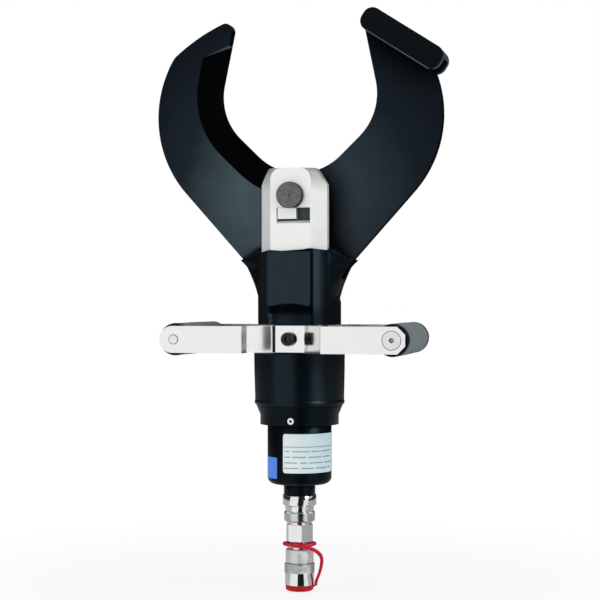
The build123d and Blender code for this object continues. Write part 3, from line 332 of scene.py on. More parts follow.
cardSet = {
    "distance": 2.3, "foot": cadBox[0][2] - 0.0002, "inner": 0.0153,
    "ahead": 0.05,  # a wall that starts above the floor hangs before the others
    "cell": 300, "fade": 0.96, "column": 3,  # clouds in mm, their depth, and degrees of a bend
    "cards": [  # name, degrees from the front to the right, heights of the wall, floor too, light
        ("whiteLeft", -56, 0, (0, 2.4), True, 0.95),
        ("blackFront", 0, 42, (0, 2.4), True, 0.012),
        ("whiteRight", 42, 72, (0, 2.4), True, 0.90),
        ("greyFloorLeft", -180, -56, None, True, 0.50),
        ("greyFloorRight", 72, 180, None, True, 0.42),
        ("darkLeft", -180, -56, (0, 1.2), False, 0.03),
        ("darkRight", 72, 180, (0, 1.2), False, 0.03),
        ("whiteHighRight", 80, 104, (0.42, 0.70), False, 0.95),
        ("blackHighRight", 36, 52, (0.215, 0.90), False, 0.012),
        ("brightRight", 52, 68, (0.58, 1.25), False, 20.0),
    ],
}


def cardMaterial(name, light):
    # painted board: an even glow with faint clouds
    material, add, shader, place = newMaterial(name)
    tint = clouds(add, place, cardSet["cell"], (light * cardSet["fade"], light))[1]
    dark = {"Base Color": linear(0.0), "Specular IOR Level": 0.0}
    setNode(shader, {**dark, "Emission Strength": 1.0, "Emission Color": tint})
    return material


def makeCard(name, start, end, heights, onFloor, light):
    # a bent board round the tool, or a sheet on the floor, or both in one
    c = cardSet
    edges = []
    if heights:
        reach = c["distance"] - (0 if onFloor or heights[0] == 0 else c["ahead"])
        edges = [(reach, heights[1]), (reach, max(heights[0], c["foot"]))]
    if onFloor:
        edges = edges[:1] + [(c["distance"], c["foot"]), (c["inner"], c["foot"])]
    columns = max(4, int((end - start) / c["column"]))
    points, faces = [], []
    for i in range(columns + 1):
        angle = math.radians(start + (end - start) * i / columns)
        points += [(reach * math.sin(angle), -reach * math.cos(angle), height) for reach, height in edges]
    rows = len(edges)
    for i in range(columns):
        for k in range(rows - 1):
            a, b = i * rows + k, (i + 1) * rows + k
            faces.append((a, b, b + 1, a + 1))
    card = makePiece("card." + name, points, faces, cardMaterial("card." + name, light))
    for ray in ("camera", "diffuse", "shadow", "transmission"):
        setattr(card, "visible_" + ray, False)


for spec in cardSet["cards"]:
    makeCard(*spec)


# floor: pale, bright far away and with the tool's shadow close by

floorSet = {
    "height": cadBox[0][2] - 0.0004, "reach": 9.0, "glow": 0.80, "shadow": (0.165, 0.55),
    "grain": 12, "paper": ("#f4f4f3", "#fafaf9"),
}


def floorMaterial():
    # matt white paper: even and bright, it only greys where the tool shades it
    material, add, shader, place = newMaterial("floor.mattPaper")
    tint = clouds(add, place, floorSet["grain"], floorSet["paper"], Detail=3.0)[1]
    setNode(shader, {"Roughness": 1.0, "Specular IOR Level": 0.0, "Base Color": tint})
    near, far = floorSet["shadow"]
    limits = {"From Min": near, "From Max": far, "To Min": floorSet["glow"]}
    span = add("VectorMath", {"operation": "LENGTH", 0: place})
    glow = add("MapRange", {**limits, "interpolation_type": "SMOOTHSTEP", "Value": span})
    share = add("Math", {"operation": "MULTIPLY", 0: glow, 1: seenDirectly(add)})
    white = add("Emission", {"Color": linear(1.0), "Strength": 1.0})
    both = add("MixShader", {0: share, 1: shader, 2: white})
    output = next(n for n in material.node_tree.nodes if n.type == "OUTPUT_MATERIAL")
    setNode(output, {"Surface": both})
    return material


def makeFloor():
    reach, height = floorSet["reach"], floorSet["height"]
    corners = [(x * reach, y * reach, height) for x, y in ((-1, -1), (1, -1), (1, 1), (-1, 1))]
    makePiece("floor", corners, [(0, 1, 2, 3)], floorMaterial())


makeFloor()
print("light, cards and floor set")


# materials: where marks are finer than a pixel, their size in mm is drawn as coarse as it needs to show

coolGleam = "#b8e2ff"  # the blacks gleam a little blue
bladeSet = {
    # bevel is a painted dark reflection on the bevel faces, edge a painted highlight on the run-out line
    "bevel": "#010203", "edge": "#5a6468", "pivot": (0.0, 0.0, 0.390),
    "shade": (0.055, 0.185),  # m from the pivot: painted light, the coat is lighter by the pivot and darkens on the way to the tip
    "blotch": 24.0, "grind": (0.55, 4, 40), "tail": (27, 32),  # mm
    "flat": (0.93, 0.985), "line": (0.72, 0.86),  # how straight a face looks that way
    "stain": 0.22, "corners": (0.06, 0.52, 0.97), "gloss": (0.40, 0.56), "bevelShine": 0.012,
}
# painted light: the right blade's tones are a darker, shaded copy of the left blade's, as it lies further
# back
leftSide = {
    "root": "#46565d", "middle": "#18222a", "tip": "#091219", "lineFacing": (0.39, 0.0, -0.92),
    "shine": 0.05, "shade": 6.0, "tail": 1,
}
rightSide = {
    "root": "#2c3840", "middle": "#131d25", "tip": "#060d13", "lineFacing": (-0.39, 0.0, -0.92),
    "shine": 0.05, "shade": 32.0, "tail": -1,
}


def guideHighlightRim():  # the block's own directions: along to its lower end, and square to that towards the hand
    at = np.array([v.co for v in nodes["blade_guide"].data.vertices])
    flat = at[:, (0, 2)]
    along = np.linalg.svd(flat - flat.mean(axis=0), full_matrices=False)[2][0]
    along = along * np.sign(along[0])
    down = np.array((along[1], -along[0]))
    front = flat[at[:, 1] < at[:, 1].min() + 0.5 * mm]
    return {
        "along": (along[0], 0, along[1]), "down": (down[0], 0, down[1]), "edge": float((front @ down).max()),
        # colour is a painted highlight on the lower front edge and the lower end
        "wide": 0.85 * mm, "sharp": 0.6, "end": (0.45, 0.80), "endShare": 0.6, "colour": "#59636a",
    }


guideSide = {
    "root": "#0a0f13", "middle": "#0a0f13", "tip": "#0a0f13", "lineFacing": (-0.41, -0.71, -0.57),
    "shine": 0.04, "shade": 3.0, "tail": -1, "rim": guideHighlightRim(),
}


def blackOxideSteel(name, side):
    # ground tool steel, black oxide: a deep blue black with faint blotches of oil, painted lighter and greyer
    # by the pivot
    b = bladeSet
    material, add, shader, place = newMaterial(name)
    facing = add("TexCoord").outputs["Normal"]
    away = add("VectorMath", {"operation": "DISTANCE", 1: b["pivot"], 0: place})
    look = {"Scale": perMetre(b["blotch"]), "Detail": 4.0, "Roughness": 0.6}
    blotch = add("TexNoise", {**look, "Vector": place})
    stain = add("Math", {"operation": "MULTIPLY_ADD", 1: b["stain"], 2: -b["stain"] / 2, 0: blotch})
    level = add("Math", {"operation": "ADD", 0: softMask(add, (away, *b["shade"])), 1: stain})
    stops = [(0.0, side["root"]), (0.5, side["middle"]), (1.0, side["tip"])]
    tint = add("ValToRGB", {"stops": stops, "Fac": level})
    # painted reflections: the ground bevel is painted near black for the dark it reflects, and the line where
    # the grinding ran out gets a painted highlight
    isFlat = softMask(add, (squareOn(add, facing), *b["flat"]))
    toLine = add("VectorMath", {"operation": "DOT_PRODUCT", 1: side["lineFacing"], 0: facing})
    lineHighlight = softMask(add, (toLine, *b["line"]))
    ground = add("Mix", {"data_type": "RGBA", 6: b["bevel"], 7: b["edge"], 0: lineHighlight})
    coat = add("Mix", {"data_type": "RGBA", 0: isFlat, 6: ground, 7: tint})
    if "rim" in side:  # painted highlights: the front plate's lower edge and the block's lower end are grey
        rim = side["rim"]
        below = add("VectorMath", {"operation": "DOT_PRODUCT", 1: rim["down"], 0: place})
        edgeHighlight = softMask(add, (below, rim["edge"] - rim["wide"], rim["edge"] - rim["sharp"] * rim["wide"]))
        toEnd = add("VectorMath", {"operation": "DOT_PRODUCT", 1: rim["along"], 0: facing})
        endHighlight = softMask(add, (toEnd, *rim["end"]), most=rim["endShare"])
        share = add("Math", {"operation": "MAXIMUM", 0: edgeHighlight, 1: endHighlight})
        coat = add("Mix", {"data_type": "RGBA", 7: rim["colour"], 0: share, 6: coat})
    # painted shade: the tail, which lies behind the clevis, is painted black, and the face close to the
    # clevis is darkened
    start, end = (side["tail"] * x for x in b["tail"])
    isTail = softMask(add, (spotInMm(add, place)["X"], start, end))
    coat = add("Mix", {"data_type": "RGBA", 7: b["bevel"], 0: isTail, 6: coat})
    streak = add("Mapping", {"Scale": tuple(perMetre(size) for size in b["grind"]), "Vector": place})
    grind = add("TexNoise", {"Scale": 1.0, "Detail": 2.0, "Vector": streak})
    coat = shadeInCorners(add, coat, side["shade"], *b["corners"])
    closeFinish(add, shader, coat, (grind, 0.10, 0.05), (blotch, *b["gloss"]))
    shine = add("MapRange", {"To Min": b["bevelShine"], "To Max": side["shine"], "Value": isFlat})
    setNode(shader, {"Specular IOR Level": shine})
    return material


clevisPocket = {
    "depth": (34.0, 31.0), "half": 20.2, "oil": "#2c3a3c",  # mm: deeper faces in the pocket get painted shade
    "edge": "#6a7270", "turned": (0.995, 0.96), "broken": (0.64, 0.72), "right": 0.05,
    "high": (394, 418), "highShare": 0.75,
}


def pocketShadeAndReflections(add, place, colour, pocket):
    spot = spotInMm(add, place)
    depth = add("Math", {"operation": "ABSOLUTE", 0: spot["Y"]})
    aside = add("Math", {"operation": "ABSOLUTE", 0: spot["X"]})
    isMiddle = add("Math", {"operation": "LESS_THAN", 1: pocket["half"], 0: aside})
    # painted shade on the faces deep in the keeper's pocket
    isDeep = add("Math", {"operation": "MULTIPLY", 0: softMask(add, (depth, *pocket["depth"])), 1: isMiddle})
    colour = add("Mix", {"data_type": "RGBA", 7: pocket["oil"], 0: isDeep, 6: colour})
    # painted reflections: the broken edges that look to the right are grey, and so are the upper ends of the
    # chamfers
    facing = add("TexCoord").outputs["Normal"]
    straight = squareOn(add, facing)
    aslant = add("SeparateXYZ", {0: facing}).outputs["X"]
    toRight = add("Math", {"operation": "GREATER_THAN", 1: pocket["right"], 0: aslant})
    isBroken = softMask(add, (straight, *pocket["broken"]))
    edge = add("Math", {"operation": "MULTIPLY", 0: isBroken, 1: toRight})
    high = softMask(add, (spot["Z"], *pocket["high"]), most=pocket["highShare"])
    edge = add("Math", {"operation": "MAXIMUM", 0: edge, 1: high})
    isTurned = softMask(add, (straight, *pocket["turned"]))
    share = add("Math", {"operation": "MULTIPLY", 0: isTurned, 1: edge})
    return add("Mix", {"data_type": "RGBA", 7: pocket["edge"], 0: share, 6: colour})


def milledSteel(name, tone, grain, roughness, lay=(1, 1, 1), corners=(4.0, 0.25), mirror=1.0, pocket=None):
    # bright milled metal with a satin finish: almost white under soft light, fine cutter marks, painted shade
    # in the corners
    material, add, shader, place = newMaterial(name)
    stretch = add("Mapping", {"Scale": tuple(perMetre(grain) * k for k in lay), "Vector": place})
    marks = add("TexNoise", {"Scale": 1.0, "Detail": 3.0, "Roughness": 0.6, "Vector": stretch})
    colour = clouds(add, place, 18, tone, (0.25, 0.75), Detail=2.0)[1]
    if pocket:
        colour = pocketShadeAndReflections(add, place, colour, pocket)
    gloss = (marks, roughness * 0.8, roughness * 1.2)
    colour = shadeInCorners(add, colour, *corners)
    closeFinish(add, shader, colour, (marks, 0.05, 0.02), gloss, {"Metallic": mirror})
    return material


pinSet = {
    "ring": 0.9, "speck": 4.5, "wave": 0.05,  # mm, and how much the rings show
    "tones": [(0.25, "#545856"), (0.5, "#6d716f"), (0.75, "#7d807e")],
    # rim is painted shade on the pin's chamfer and side
    "rim": "#2b2e2d", "face": (0.80, 0.97),
}


def turnedPinSteel():
    # turned and slightly oxidised steel: grey, with rings round the centre mark and dark specks, and painted
    # shade on its rim
    material, add, shader, place = newMaterial("pin.turnedSteel")
    toAxis = add("Mapping", {"Location": (0, 0, -bladeSet["pivot"][2]), "Scale": (1, 0, 1), "Vector": place})
    span = add("VectorMath", {"operation": "LENGTH", 0: toAxis})
    rings = add("Math", {"operation": "MULTIPLY", 1: 2 * math.pi * perMetre(pinSet["ring"]), 0: span})
    wave = add("Math", {"operation": "SINE", 0: rings})
    look = {"Scale": perMetre(pinSet["speck"]), "Detail": 5.0, "Roughness": 0.6}
    speck = add("TexNoise", {**look, "Vector": place})
    level = add("Math", {"operation": "MULTIPLY_ADD", 1: pinSet["wave"], 0: wave, 2: speck})
    tint = add("ValToRGB", {"stops": pinSet["tones"], "Fac": level})
    # painted shade: faces that do not look to the front or rear take the dark rim colour
    isFace = softMask(add, (squareOn(add, add("TexCoord").outputs["Normal"]), *pinSet["face"]))
    coat = add("Mix", {"data_type": "RGBA", 6: pinSet["rim"], 0: isFace, 7: tint})
    closeFinish(add, shader, coat, (level, 0.2, 0.05), values={"Metallic": 0.85, "Roughness": 0.42})
    return material


def satinBlackPaint():
    # stoved black enamel on steel: near black with a soft broad gleam and a light orange peel
    material, add, shader, place = newMaterial("barrel.stovedEnamel")
    cloud, tint = clouds(add, place, 22, ("#010405", "#030809"), Detail=3.0)
    peel = add("TexNoise", {"Scale": perMetre(1.6), "Detail": 1.0, "Vector": place})
    values = {"Specular IOR Level": 0.15, "Specular Tint": coolGleam}
    closeFinish(add, shader, tint, (peel, 0.08, 0.05), (cloud, 0.30, 0.42), values)
    return material


rubberCloud = {"cell": 15, "places": (0.3, 0.72), "Detail": 5.0, "Roughness": 0.62}


def mouldedRubber(name, tone, grain, roughness, sheen):
    # moulded nitrile rubber: a soft dull black that greys a little in soft clouds, with a fine mould grain
    material, add, shader, place = newMaterial(name)
    cloud, tint = clouds(add, place, colours=tone, **rubberCloud)
    skin = add("TexNoise", {"Scale": perMetre(grain), "Detail": 2.0, "Vector": place})
    values = {"Specular IOR Level": sheen, "Specular Tint": coolGleam}
    closeFinish(add, shader, tint, (skin, 0.18, 0.08), (cloud, roughness - 0.06, roughness + 0.08), values)
    return material


panelSet = {  # mm: the boot's panels with a painted sheen, and painted shade on the line under the clevis, the groove under the panels and the slit beside them
    "depth": (41.6, 42.3), "arch": (284.0, 284.9), "rise": 0.008,  # the lower edge rises to its middle
    "lip": (334.8, 335.8), "flank": (28.5, 34.0),
    "groove": (270.5, 276.5), "half": (20.5, 24.0), "grooveDepth": (33.0, 36.0),
    "slitFrom": (19.2, 20.4), "slitTo": (22.0, 23.2), "slitDepth": (30.0, 34.0),
    "dull": ("#02060a", "#060c10"), "panelSheen": ("#181f26", "#1e242c"), "grain": 0.9,
    "flankShare": 0.75, "sheen": (0.33, 0.01),
}


def bootRubber():
    # moulded nitrile rubber: dull black, but the front and rear panels carry a painted blue grey sheen
    p = panelSet
    material, add, shader, place = newMaterial("boot.nitrileRubber")
    cloud, dull = clouds(add, place, colours=p["dull"], **rubberCloud)
    panelSheen = add("ValToRGB", {"stops": list(zip(rubberCloud["places"], p["panelSheen"])), "Fac": cloud})
    spot = spotInMm(add, place)
    depth = add("Math", {"operation": "ABSOLUTE", 0: spot["Y"]})
    aside = add("Math", {"operation": "ABSOLUTE", 0: spot["X"]})
    square = add("Math", {"operation": "MULTIPLY", 0: aside, 1: aside})
    arch = add("Math", {"operation": "MULTIPLY_ADD", 1: p["rise"], 0: square, 2: spot["Z"]})
    rear = add("Math", {"operation": "SIGN", 0: spot["Y"]})  # the rear is the front turned half round
    back = add("Math", {"operation": "MULTIPLY", 1: -1.0, 0: spot["X"]})
    along = add("Math", {"operation": "MULTIPLY", 0: rear, 1: back})
    front = [(depth, *p["depth"]), (arch, *p["arch"])]
    isPanel = softMask(add, *front, (spot["Z"], *p["lip"][::-1]))
    black = [  # painted shade on the line under the clevis, the groove and the slit, and the duller flanks and wings
        softMask(add, *front, (spot["Z"], *p["lip"])),
        softMask(
            add, (arch, *p["arch"][::-1]), (spot["Z"], *p["groove"]), (aside, *p["half"][::-1]),
            (depth, *p["grooveDepth"]),
        ),
        softMask(add, (along, *p["slitFrom"]), (along, *p["slitTo"][::-1]), (depth, *p["slitDepth"])),
        softMask(add, (aside, *p["flank"]), most=p["flankShare"]),
    ]
    isBlack = black[0]
    for mask in black[1:]:
        isBlack = add("Math", {"operation": "MAXIMUM", 0: isBlack, 1: mask})
    tint = add("Mix", {"data_type": "RGBA", 0: isPanel, 6: dull, 7: panelSheen})
    skin = add("TexNoise", {"Scale": perMetre(p["grain"]), "Detail": 2.0, "Vector": place})
    closeFinish(add, shader, tint, (skin, 0.15, 0.08), (cloud, 0.36, 0.50), {"Specular Tint": coolGleam})
    sheen = add("MapRange", {"To Min": p["sheen"][0], "To Max": p["sheen"][1], "Value": isBlack})
    setNode(shader, {"Specular IOR Level": sheen})
    return material


def platedNickel(name, tone, roughness, grain, mirror=1.0, corners=None):
    # nickel plate over turned steel: bright and hard, with faint turning lines round the axis
    material, add, shader, place = newMaterial(name)
    stretch = add("Mapping", {"Scale": (perMetre(30), perMetre(30), perMetre(grain)), "Vector": place})
    lines = add("TexNoise", {"Scale": 1.0, "Detail": 3.0, "Vector": stretch})
    cloud, colour = clouds(add, place, 7, tone, (0.25, 0.75), Detail=3.0)
    if corners:
        colour = shadeInCorners(add, colour, *corners)
    gloss = (cloud, roughness * 0.7, roughness * 1.3)
    closeFinish(add, shader, colour, (lines, 0.06, 0.02), gloss, {"Metallic": mirror})
    return material


def softPvc(name, tone, roughness):
    # moulded soft PVC: saturated and slightly waxy, with light scattered just under the skin
    material, add, shader, place = newMaterial(name)
    cloud, tint = clouds(add, place, 6, tone, Detail=4.0)
    closeFinish(add, shader, tint, (cloud, 0.08, 0.05), values={
        "Roughness": roughness, "Specular IOR Level": 0.2, "Subsurface Weight": 0.08,
        "Subsurface Radius": (1.2 * mm, 0.3 * mm, 0.3 * mm),
    })
    return material


def stickerFilm(name, tone, across=(-30, 30)):
    # printed polyester film: a slight shine, ripples of the glue below, and a tint that pales to the left
    material, add, shader, place = newMaterial(name)
    cloud = add("TexNoise", {"Scale": perMetre(9), "Detail": 2.0, "Vector": place})
    limits = {"From Min": across[0], "From Max": across[1], "To Min": 0.75, "To Max": -0.25}
    toLeft = add("MapRange", {**limits, "Value": spotInMm(add, place)["X"]})
    level = add("Math", {"operation": "MULTIPLY_ADD", 1: 0.5, 0: cloud, 2: toLeft})
    tint = add("ValToRGB", {"stops": list(zip((0.0, 1.0), tone)), "Fac": level})
    values = {"Roughness": 0.34, "Specular IOR Level": 0.3}
    closeFinish(add, shader, tint, (cloud, 0.05, 0.05), values=values)
    return material


lookTable = [  # the function, and for each finish its key, the material's name and the settings
    (blackOxideSteel, [  # side
        ("leftBlade", "blade.blackOxideLeft", leftSide),
        ("rightBlade", "blade.blackOxideRight", rightSide),
        ("guide", "guide.blackOxide", guideSide),
    ]),
    (milledSteel, [  # tones, grain in mm, roughness, lay of the marks, painted corner shade, mirror, pocket with painted shade and reflections
        ("clevis", "clevis.milledSteel", ("#f4f5f3", "#f9faf8"), 0.8, 0.24, (1, 1, 0.06), (2.0, 0.45), 0.22,
         clevisPocket),
        ("keeper", "keeper.milledSteel", ("#f0f1ef", "#f6f7f5"), 0.8, 0.24, (1, 1, 1), (2.0, 0.45), 0.45),
        ("bar", "bar.satinAluminium", ("#f0f1f0", "#f5f5f4"), 0.6, 0.13, (0.06, 1, 1), (4.0, 0.30)),
        ("innerSteel", "ram.groundSteel", ("#9b9ea0", "#b1b4b5"), 0.5, 0.24),
        ("wire", "spring.oilTemperedWire", ("#55585a", "#6c6f71"), 0.5, 0.35),
        ("bronze", "bush.bearingBronze", ("#a07a42", "#b78f52"), 0.5, 0.32),
    ]),
    (mouldedRubber, [  # tones, grain in mm, roughness, sheen
        ("sleeve", "sleeve.nitrileRubber", ("#010507", "#03080a"), 0.9, 0.30, 0.32),
        ("grip", "grip.foamRubber", ("#646d6e", "#767f80"), 0.8, 0.72, 0.25),
        ("ring", "ring.blackNylon", ("#060808", "#0b0e0e"), 1.1, 0.34, 0.25),
        ("seal", "seal.nitrile", ("#0a0b0c", "#121415"), 0.6, 0.45, 0.3),
        ("gap", "gap.oilAndDirt", ("#3a3f40", "#4c5152"), 0.6, 0.6, 0.1),
    ]),
    (platedNickel, [  # tones, roughness, grain in mm, mirror, painted corner shade
        ("nickel", "coupler.nickelPlate", ("#e3e7e5", "#eff1ef"), 0.11, 0.35),
        ("satinNickel", "sleeve.satinNickel", ("#d3d9d7", "#dfe4e2"), 0.50, 0.35, 0.6),
        ("knurl", "collar.knurledNickel", ("#b4bcba", "#c6ccca"), 0.32, 0.35, 0.75),
        ("swivel", "swivel.nickelPlate", ("#c9cfcd", "#d8dddb"), 0.18, 0.35),
        ("blackScrew", "screw.blackOxide", ("#282d2f", "#393f41"), 0.26, 0.5),
        ("zinc", "screw.zincPlate", ("#e6e9e8", "#f1f3f2"), 0.20, 0.5, 1.0, (3.0, 0.03, 0.45, 0.85)),
    ]),
    (softPvc, [  # tones, roughness
        ("red", "cap.softPvcRed", ("#b0060c", "#c20a12"), 0.40),
        ("strap", "strap.softPvcRed", ("#bc0830", "#d00f3c"), 0.42),
    ]),
    (stickerFilm, [  # tones, and between which x in mm it pales
        ("label", "label.whitePolyester", ("#c8e2e9", "#eff7f4"), (-9, 26)),
        ("labelInk", "label.greyPrint", ("#7f959d", "#a3b2b3")),
        ("labelRule", "label.blueGreyRule", ("#33506a", "#7d8b99")),
        ("blueFilm", "sticker.bluePolyester", ("#3a78ec", "#5590f8")),
    ]),
]
finish = {"pin": turnedPinSteel(), "paint": satinBlackPaint(), "boot": bootRubber()}
for makeLook, looks in lookTable:
    for key, *look in looks:
        finish[key] = makeLook(*look)
print("materials made,", len(finish))


# CAD pieces keep their shape: they get a finish and their edges are broken as a file would

edgeSet = {"weld": 0.002, "segments": 2, "angle": 32}  # mm, count, degrees
cadFinish = [  # finish, edge break in mm, nodes
    ("leftBlade", 0.35, "blade_left"), ("rightBlade", 0.35, "blade_right"), ("guide", 0.8, "blade_guide"),
    ("clevis", 0.8, "clevis"), ("pin", 0.3, "pivot_pin"), ("keeper", 0.4, "pin_keeper"),
    ("bronze", 0.0, "bush_left", "bush_right", "thrust_washers", "gland_bush", "piston_guide_ring"),
    ("seal", 0.0, "rod_wiper", "piston_seal", "end_cap_seal"),
    ("wire", 0.0, "return_spring", "poppet_spring"),
    ("innerSteel", 0.0, "piston_rod", "piston"), ("innerSteel", 0.2, "poppet"),
    ("innerSteel", 0.4, "cam_pin"), ("innerSteel", 0.5, "crosshead"),
    ("paint", 0.3, "end_cap", "neck_adapter"), ("paint", 0.5, "barrel"),
    ("bar", 0.0, "handle_bar_front", "handle_bar_rear"), ("ring", 0.7, "grip_end_rings"),
    ("blackScrew", 0.0, "guide_screws"), ("blackScrew", 0.25, "handle_screws"),
    ("zinc", 0.2, "grip_rods", "grip_end_screws"), ("zinc", 0.25, "lock_screw"),
    ("nickel", 0.25, "coupler_body"), ("nickel", 0.3, "hose_nipple"), ("satinNickel", 0.3, "coupler_sleeve"),
]


def dress(piece, material, edge):
    piece.data.materials.clear()
    piece.data.materials.append(material)
    if not edge:
        return
    weld = piece.modifiers.new("weld", "WELD")
    weld.merge_threshold = edgeSet["weld"] * mm
    broken = piece.modifiers.new("edge", "BEVEL")
    broken.width = edge * mm
    broken.segments = edgeSet["segments"]
    broken.limit_method = "ANGLE"
    broken.angle_limit = math.radians(edgeSet["angle"])
    broken.harden_normals = True


for name, edge, *group in cadFinish:
    for node in group:
        dress(nodes[node], finish[name], edge)
print("CAD pieces dressed,", sum(len(row) - 2 for row in cadFinish))


# return spring: the same coil as a piece with its own mesh, carried by the body


def makeSpring():
    spring = bpy.data.objects.new("returnSpring", nodes["return_spring"].data.copy())
    scene.collection.objects.link(spring)
    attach(spring, "body")
    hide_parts("return_spring")
    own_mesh(spring)


makeSpring()
print("return spring made")


# rubber boot: moulded over the clevis, its skin runs out into a wing beside each blade tail

bootSet = {  # mm
    "voxel": 0.85, "smoothing": 6, "softness": 0.5,
    "wing": [  # a skin from the round body to the wing: (x, y, z) from top to foot for the right front corner
        [(29, -33.5, 338), (36, -16, 341), (56.6, -16, 329)],
        [(29, -33.5, 320), (36, -16, 320), (51, -16, 320)],
        [(29, -33.5, 285), (36, -16, 285), (41.4, -16, 293)],
    ],
    "flank": ((27.5, 33, 38, 43, 48, 54), (47.9, 47.7, 47.3, 46.7, 46.0, 44.9)),  # bearing and radius
    "flankFacing": (0.2, 0.6), "flankFrom": (26, 29), "flankTo": (51, 57),
    "flankFoot": ((262, 282), (0.7, 1.0)),  # heights and shares
    "wingFrom": (35, 40), "thinFrom": (36, 58), "thin": 0.86,  # the half that holds no blade thins out
    "narrowFrom": 36, "narrow": ((286, 292, 310, 326), (1.0, 0.55, 0.8, 1.0)),  # its reach by height
    "lip": (318, 336), "lipDepth": (10, 22),
    "lipWaves": [(1.7, 21, 7), (-0.9, -8, 9)],  # height, place, width
    "outerLip": (  # places along x and heights
        (-58, -36, -20, -8, 10, 21, 35.8, 38, 42.5, 50, 58),
        (327.2, 332.8, 337.0, 336.0, 337.4, 338.4, 336.4, 333.0, 330.4, 328.8, 327.8),
    ),
    "innerLip": ((33, 37, 41, 46, 50, 57), (340.6, 340.0, 337.6, 333.2, 330.2, 327.8)),
    "fold": (19.0, 21.5), "foldFrom": (32, 34), "ripple": (0.5, 1.3, 2.0), "rippleFrom": (34, 38),
    "rim": 0.12,  # what is left of the skin above its lip
    "groove": 1.6, "slit": 0.9,
}


def roughBoot():  # the CAD boot and its wings in one soft skin
    shape = bmesh.new()
    shape.from_mesh(nodes["rubber_boot"].data)
    for upper, lower in zip(bootSet["wing"], bootSet["wing"][1:]):
        for sideX, sideY in ((-1, -1), (-1, 1), (1, -1), (1, 1)):
            solid = [(x * sideX * mm, y * sideY * mm, z * mm) for x, y, z in upper + lower]
            bmesh.ops.convex_hull(shape, input=[shape.verts.new(corner) for corner in solid])
    mesh = bpy.data.meshes.new("bootRough")
    shape.to_mesh(mesh)
    shape.free()
    piece = bpy.data.objects.new("boot", mesh)
    scene.collection.objects.link(piece)
    remesh = piece.modifiers.new("remesh", "REMESH")
    remesh.mode = "VOXEL"
    remesh.voxel_size = bootSet["voxel"] * mm
    soft = piece.modifiers.new("soften", "SMOOTH")
    soft.factor = bootSet["softness"]
    soft.iterations = bootSet["smoothing"]
    shaped = piece.evaluated_get(bpy.context.evaluated_depsgraph_get())
    mesh = bpy.data.meshes.new_from_object(shaped)
    piece.modifiers.clear()
    piece.data = mesh
    mesh.name = "boot"
    mesh.materials.clear()
    mesh.materials.append(finish["boot"])
    return piece


def inRows(vertices, what):  # a vertex value as an array of (x, y, z)
    rows = np.empty(len(vertices) * 3, np.float64)
    vertices.foreach_get(what, rows)
    return rows.reshape(-1, 3)


def makeBoot():
    b = bootSet
    piece = roughBoot()
    mesh = piece.data
    at = inRows(mesh.vertices, "co") / mm
    facing = inRows(mesh.vertices, "normal")
    # the flanks beside the panels are round from top to foot
    reach = np.hypot(at[:, 0], at[:, 1])
    outward = (facing[:, 0] * at[:, 0] + facing[:, 1] * at[:, 1]) / reach
    bearing = np.degrees(np.arctan2(np.abs(at[:, 0]), np.abs(at[:, 1])))
    onFlank = smoothStep(*b["flankFrom"], bearing) * (1 - smoothStep(*b["flankTo"], bearing))
    swell = (np.interp(bearing, *b["flank"]) - reach) * smoothStep(*b["flankFacing"], outward) * onFlank
    swell = np.maximum(swell, 0) * np.interp(at[:, 2], *b["flankFoot"])
    at[:, :2] *= (1 + swell / reach)[:, None]
    x, y, z = at[:, 0].copy(), at[:, 1].copy(), at[:, 2].copy()
    side, depth = np.abs(x), np.abs(y)
    along = np.where(y < 0, x, -x)  # the rear is the front turned half round
    # the wings thin out to the blade they cover, and end flush with the body at their foot
    free = np.where(along > 0, smoothStep(*b["wingFrom"], side) * smoothStep(*b["thinFrom"], side), 0)
    depth = depth * (1 - b["thin"] * free)
    start = b["narrowFrom"]
    x = np.where(side > start, np.sign(x) * (start + (side - start) * np.interp(z, *b["narrow"])), x)
    at[:, 0] = x
    side = np.abs(x)
    waves = sum(height * hump(place, width, along) for height, place, width in b["lipWaves"])
    z = z + smoothStep(*b["lip"], z) * smoothStep(*b["lipDepth"], depth) * waves
    # the lips end on a slope: the outer one falls to the wing's tip, the inner one stands beside the blade
    outer = np.interp(along, *b["outerLip"])
    height, rate, shift = b["ripple"]
    fold = np.interp(side, *b["innerLip"])
    fold = fold + height * np.sin(rate * side + shift) * smoothStep(*b["rippleFrom"], side)
    inside = 1 - smoothStep(*b["fold"], depth / (1 - b["thin"] * free))
    top = outer + (fold - outer) * inside * smoothStep(*b["foldFrom"], side)
    z = np.where(z > top, top + b["rim"] * (z - top), z)
    at[:, 2] = z
    # a groove runs below each panel, and a narrow slit stands on the right of it
    p = panelSet
    arch = z + p["rise"] * side ** 2
    groove = smoothStep(*p["groove"], z) * (1 - smoothStep(*p["arch"], arch))
    groove = groove * (1 - smoothStep(*p["half"], side)) * smoothStep(*p["grooveDepth"], depth)
    slit = smoothStep(*p["slitFrom"], along) * (1 - smoothStep(*p["slitTo"], along))
    slit = slit * smoothStep(*p["slitDepth"], depth)
    at[:, 1] = np.sign(y) * (depth - b["groove"] * groove - b["slit"] * slit)
    mesh.vertices.foreach_set("co", (at * mm).ravel())
    mesh.polygons.foreach_set("use_smooth", [True] * len(mesh.polygons))
    mesh.update()
    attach(piece, "body")
    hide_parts("rubber_boot")


makeBoot()
print("boot made")


# rubber sleeve round the barrel, with a rolled lip at its foot

sleeveSet = {  # mm
    "inside": 42.1, "footRadius": 44.3, "topRadius": 45.4, "lip": 0.5, "steps": 128,
    "bulge": [(44.7, 20), (45.05, 34)],  # radius and height above the foot
    "waves": (0.12, 0.08),  # hand moulded: never quite round
}


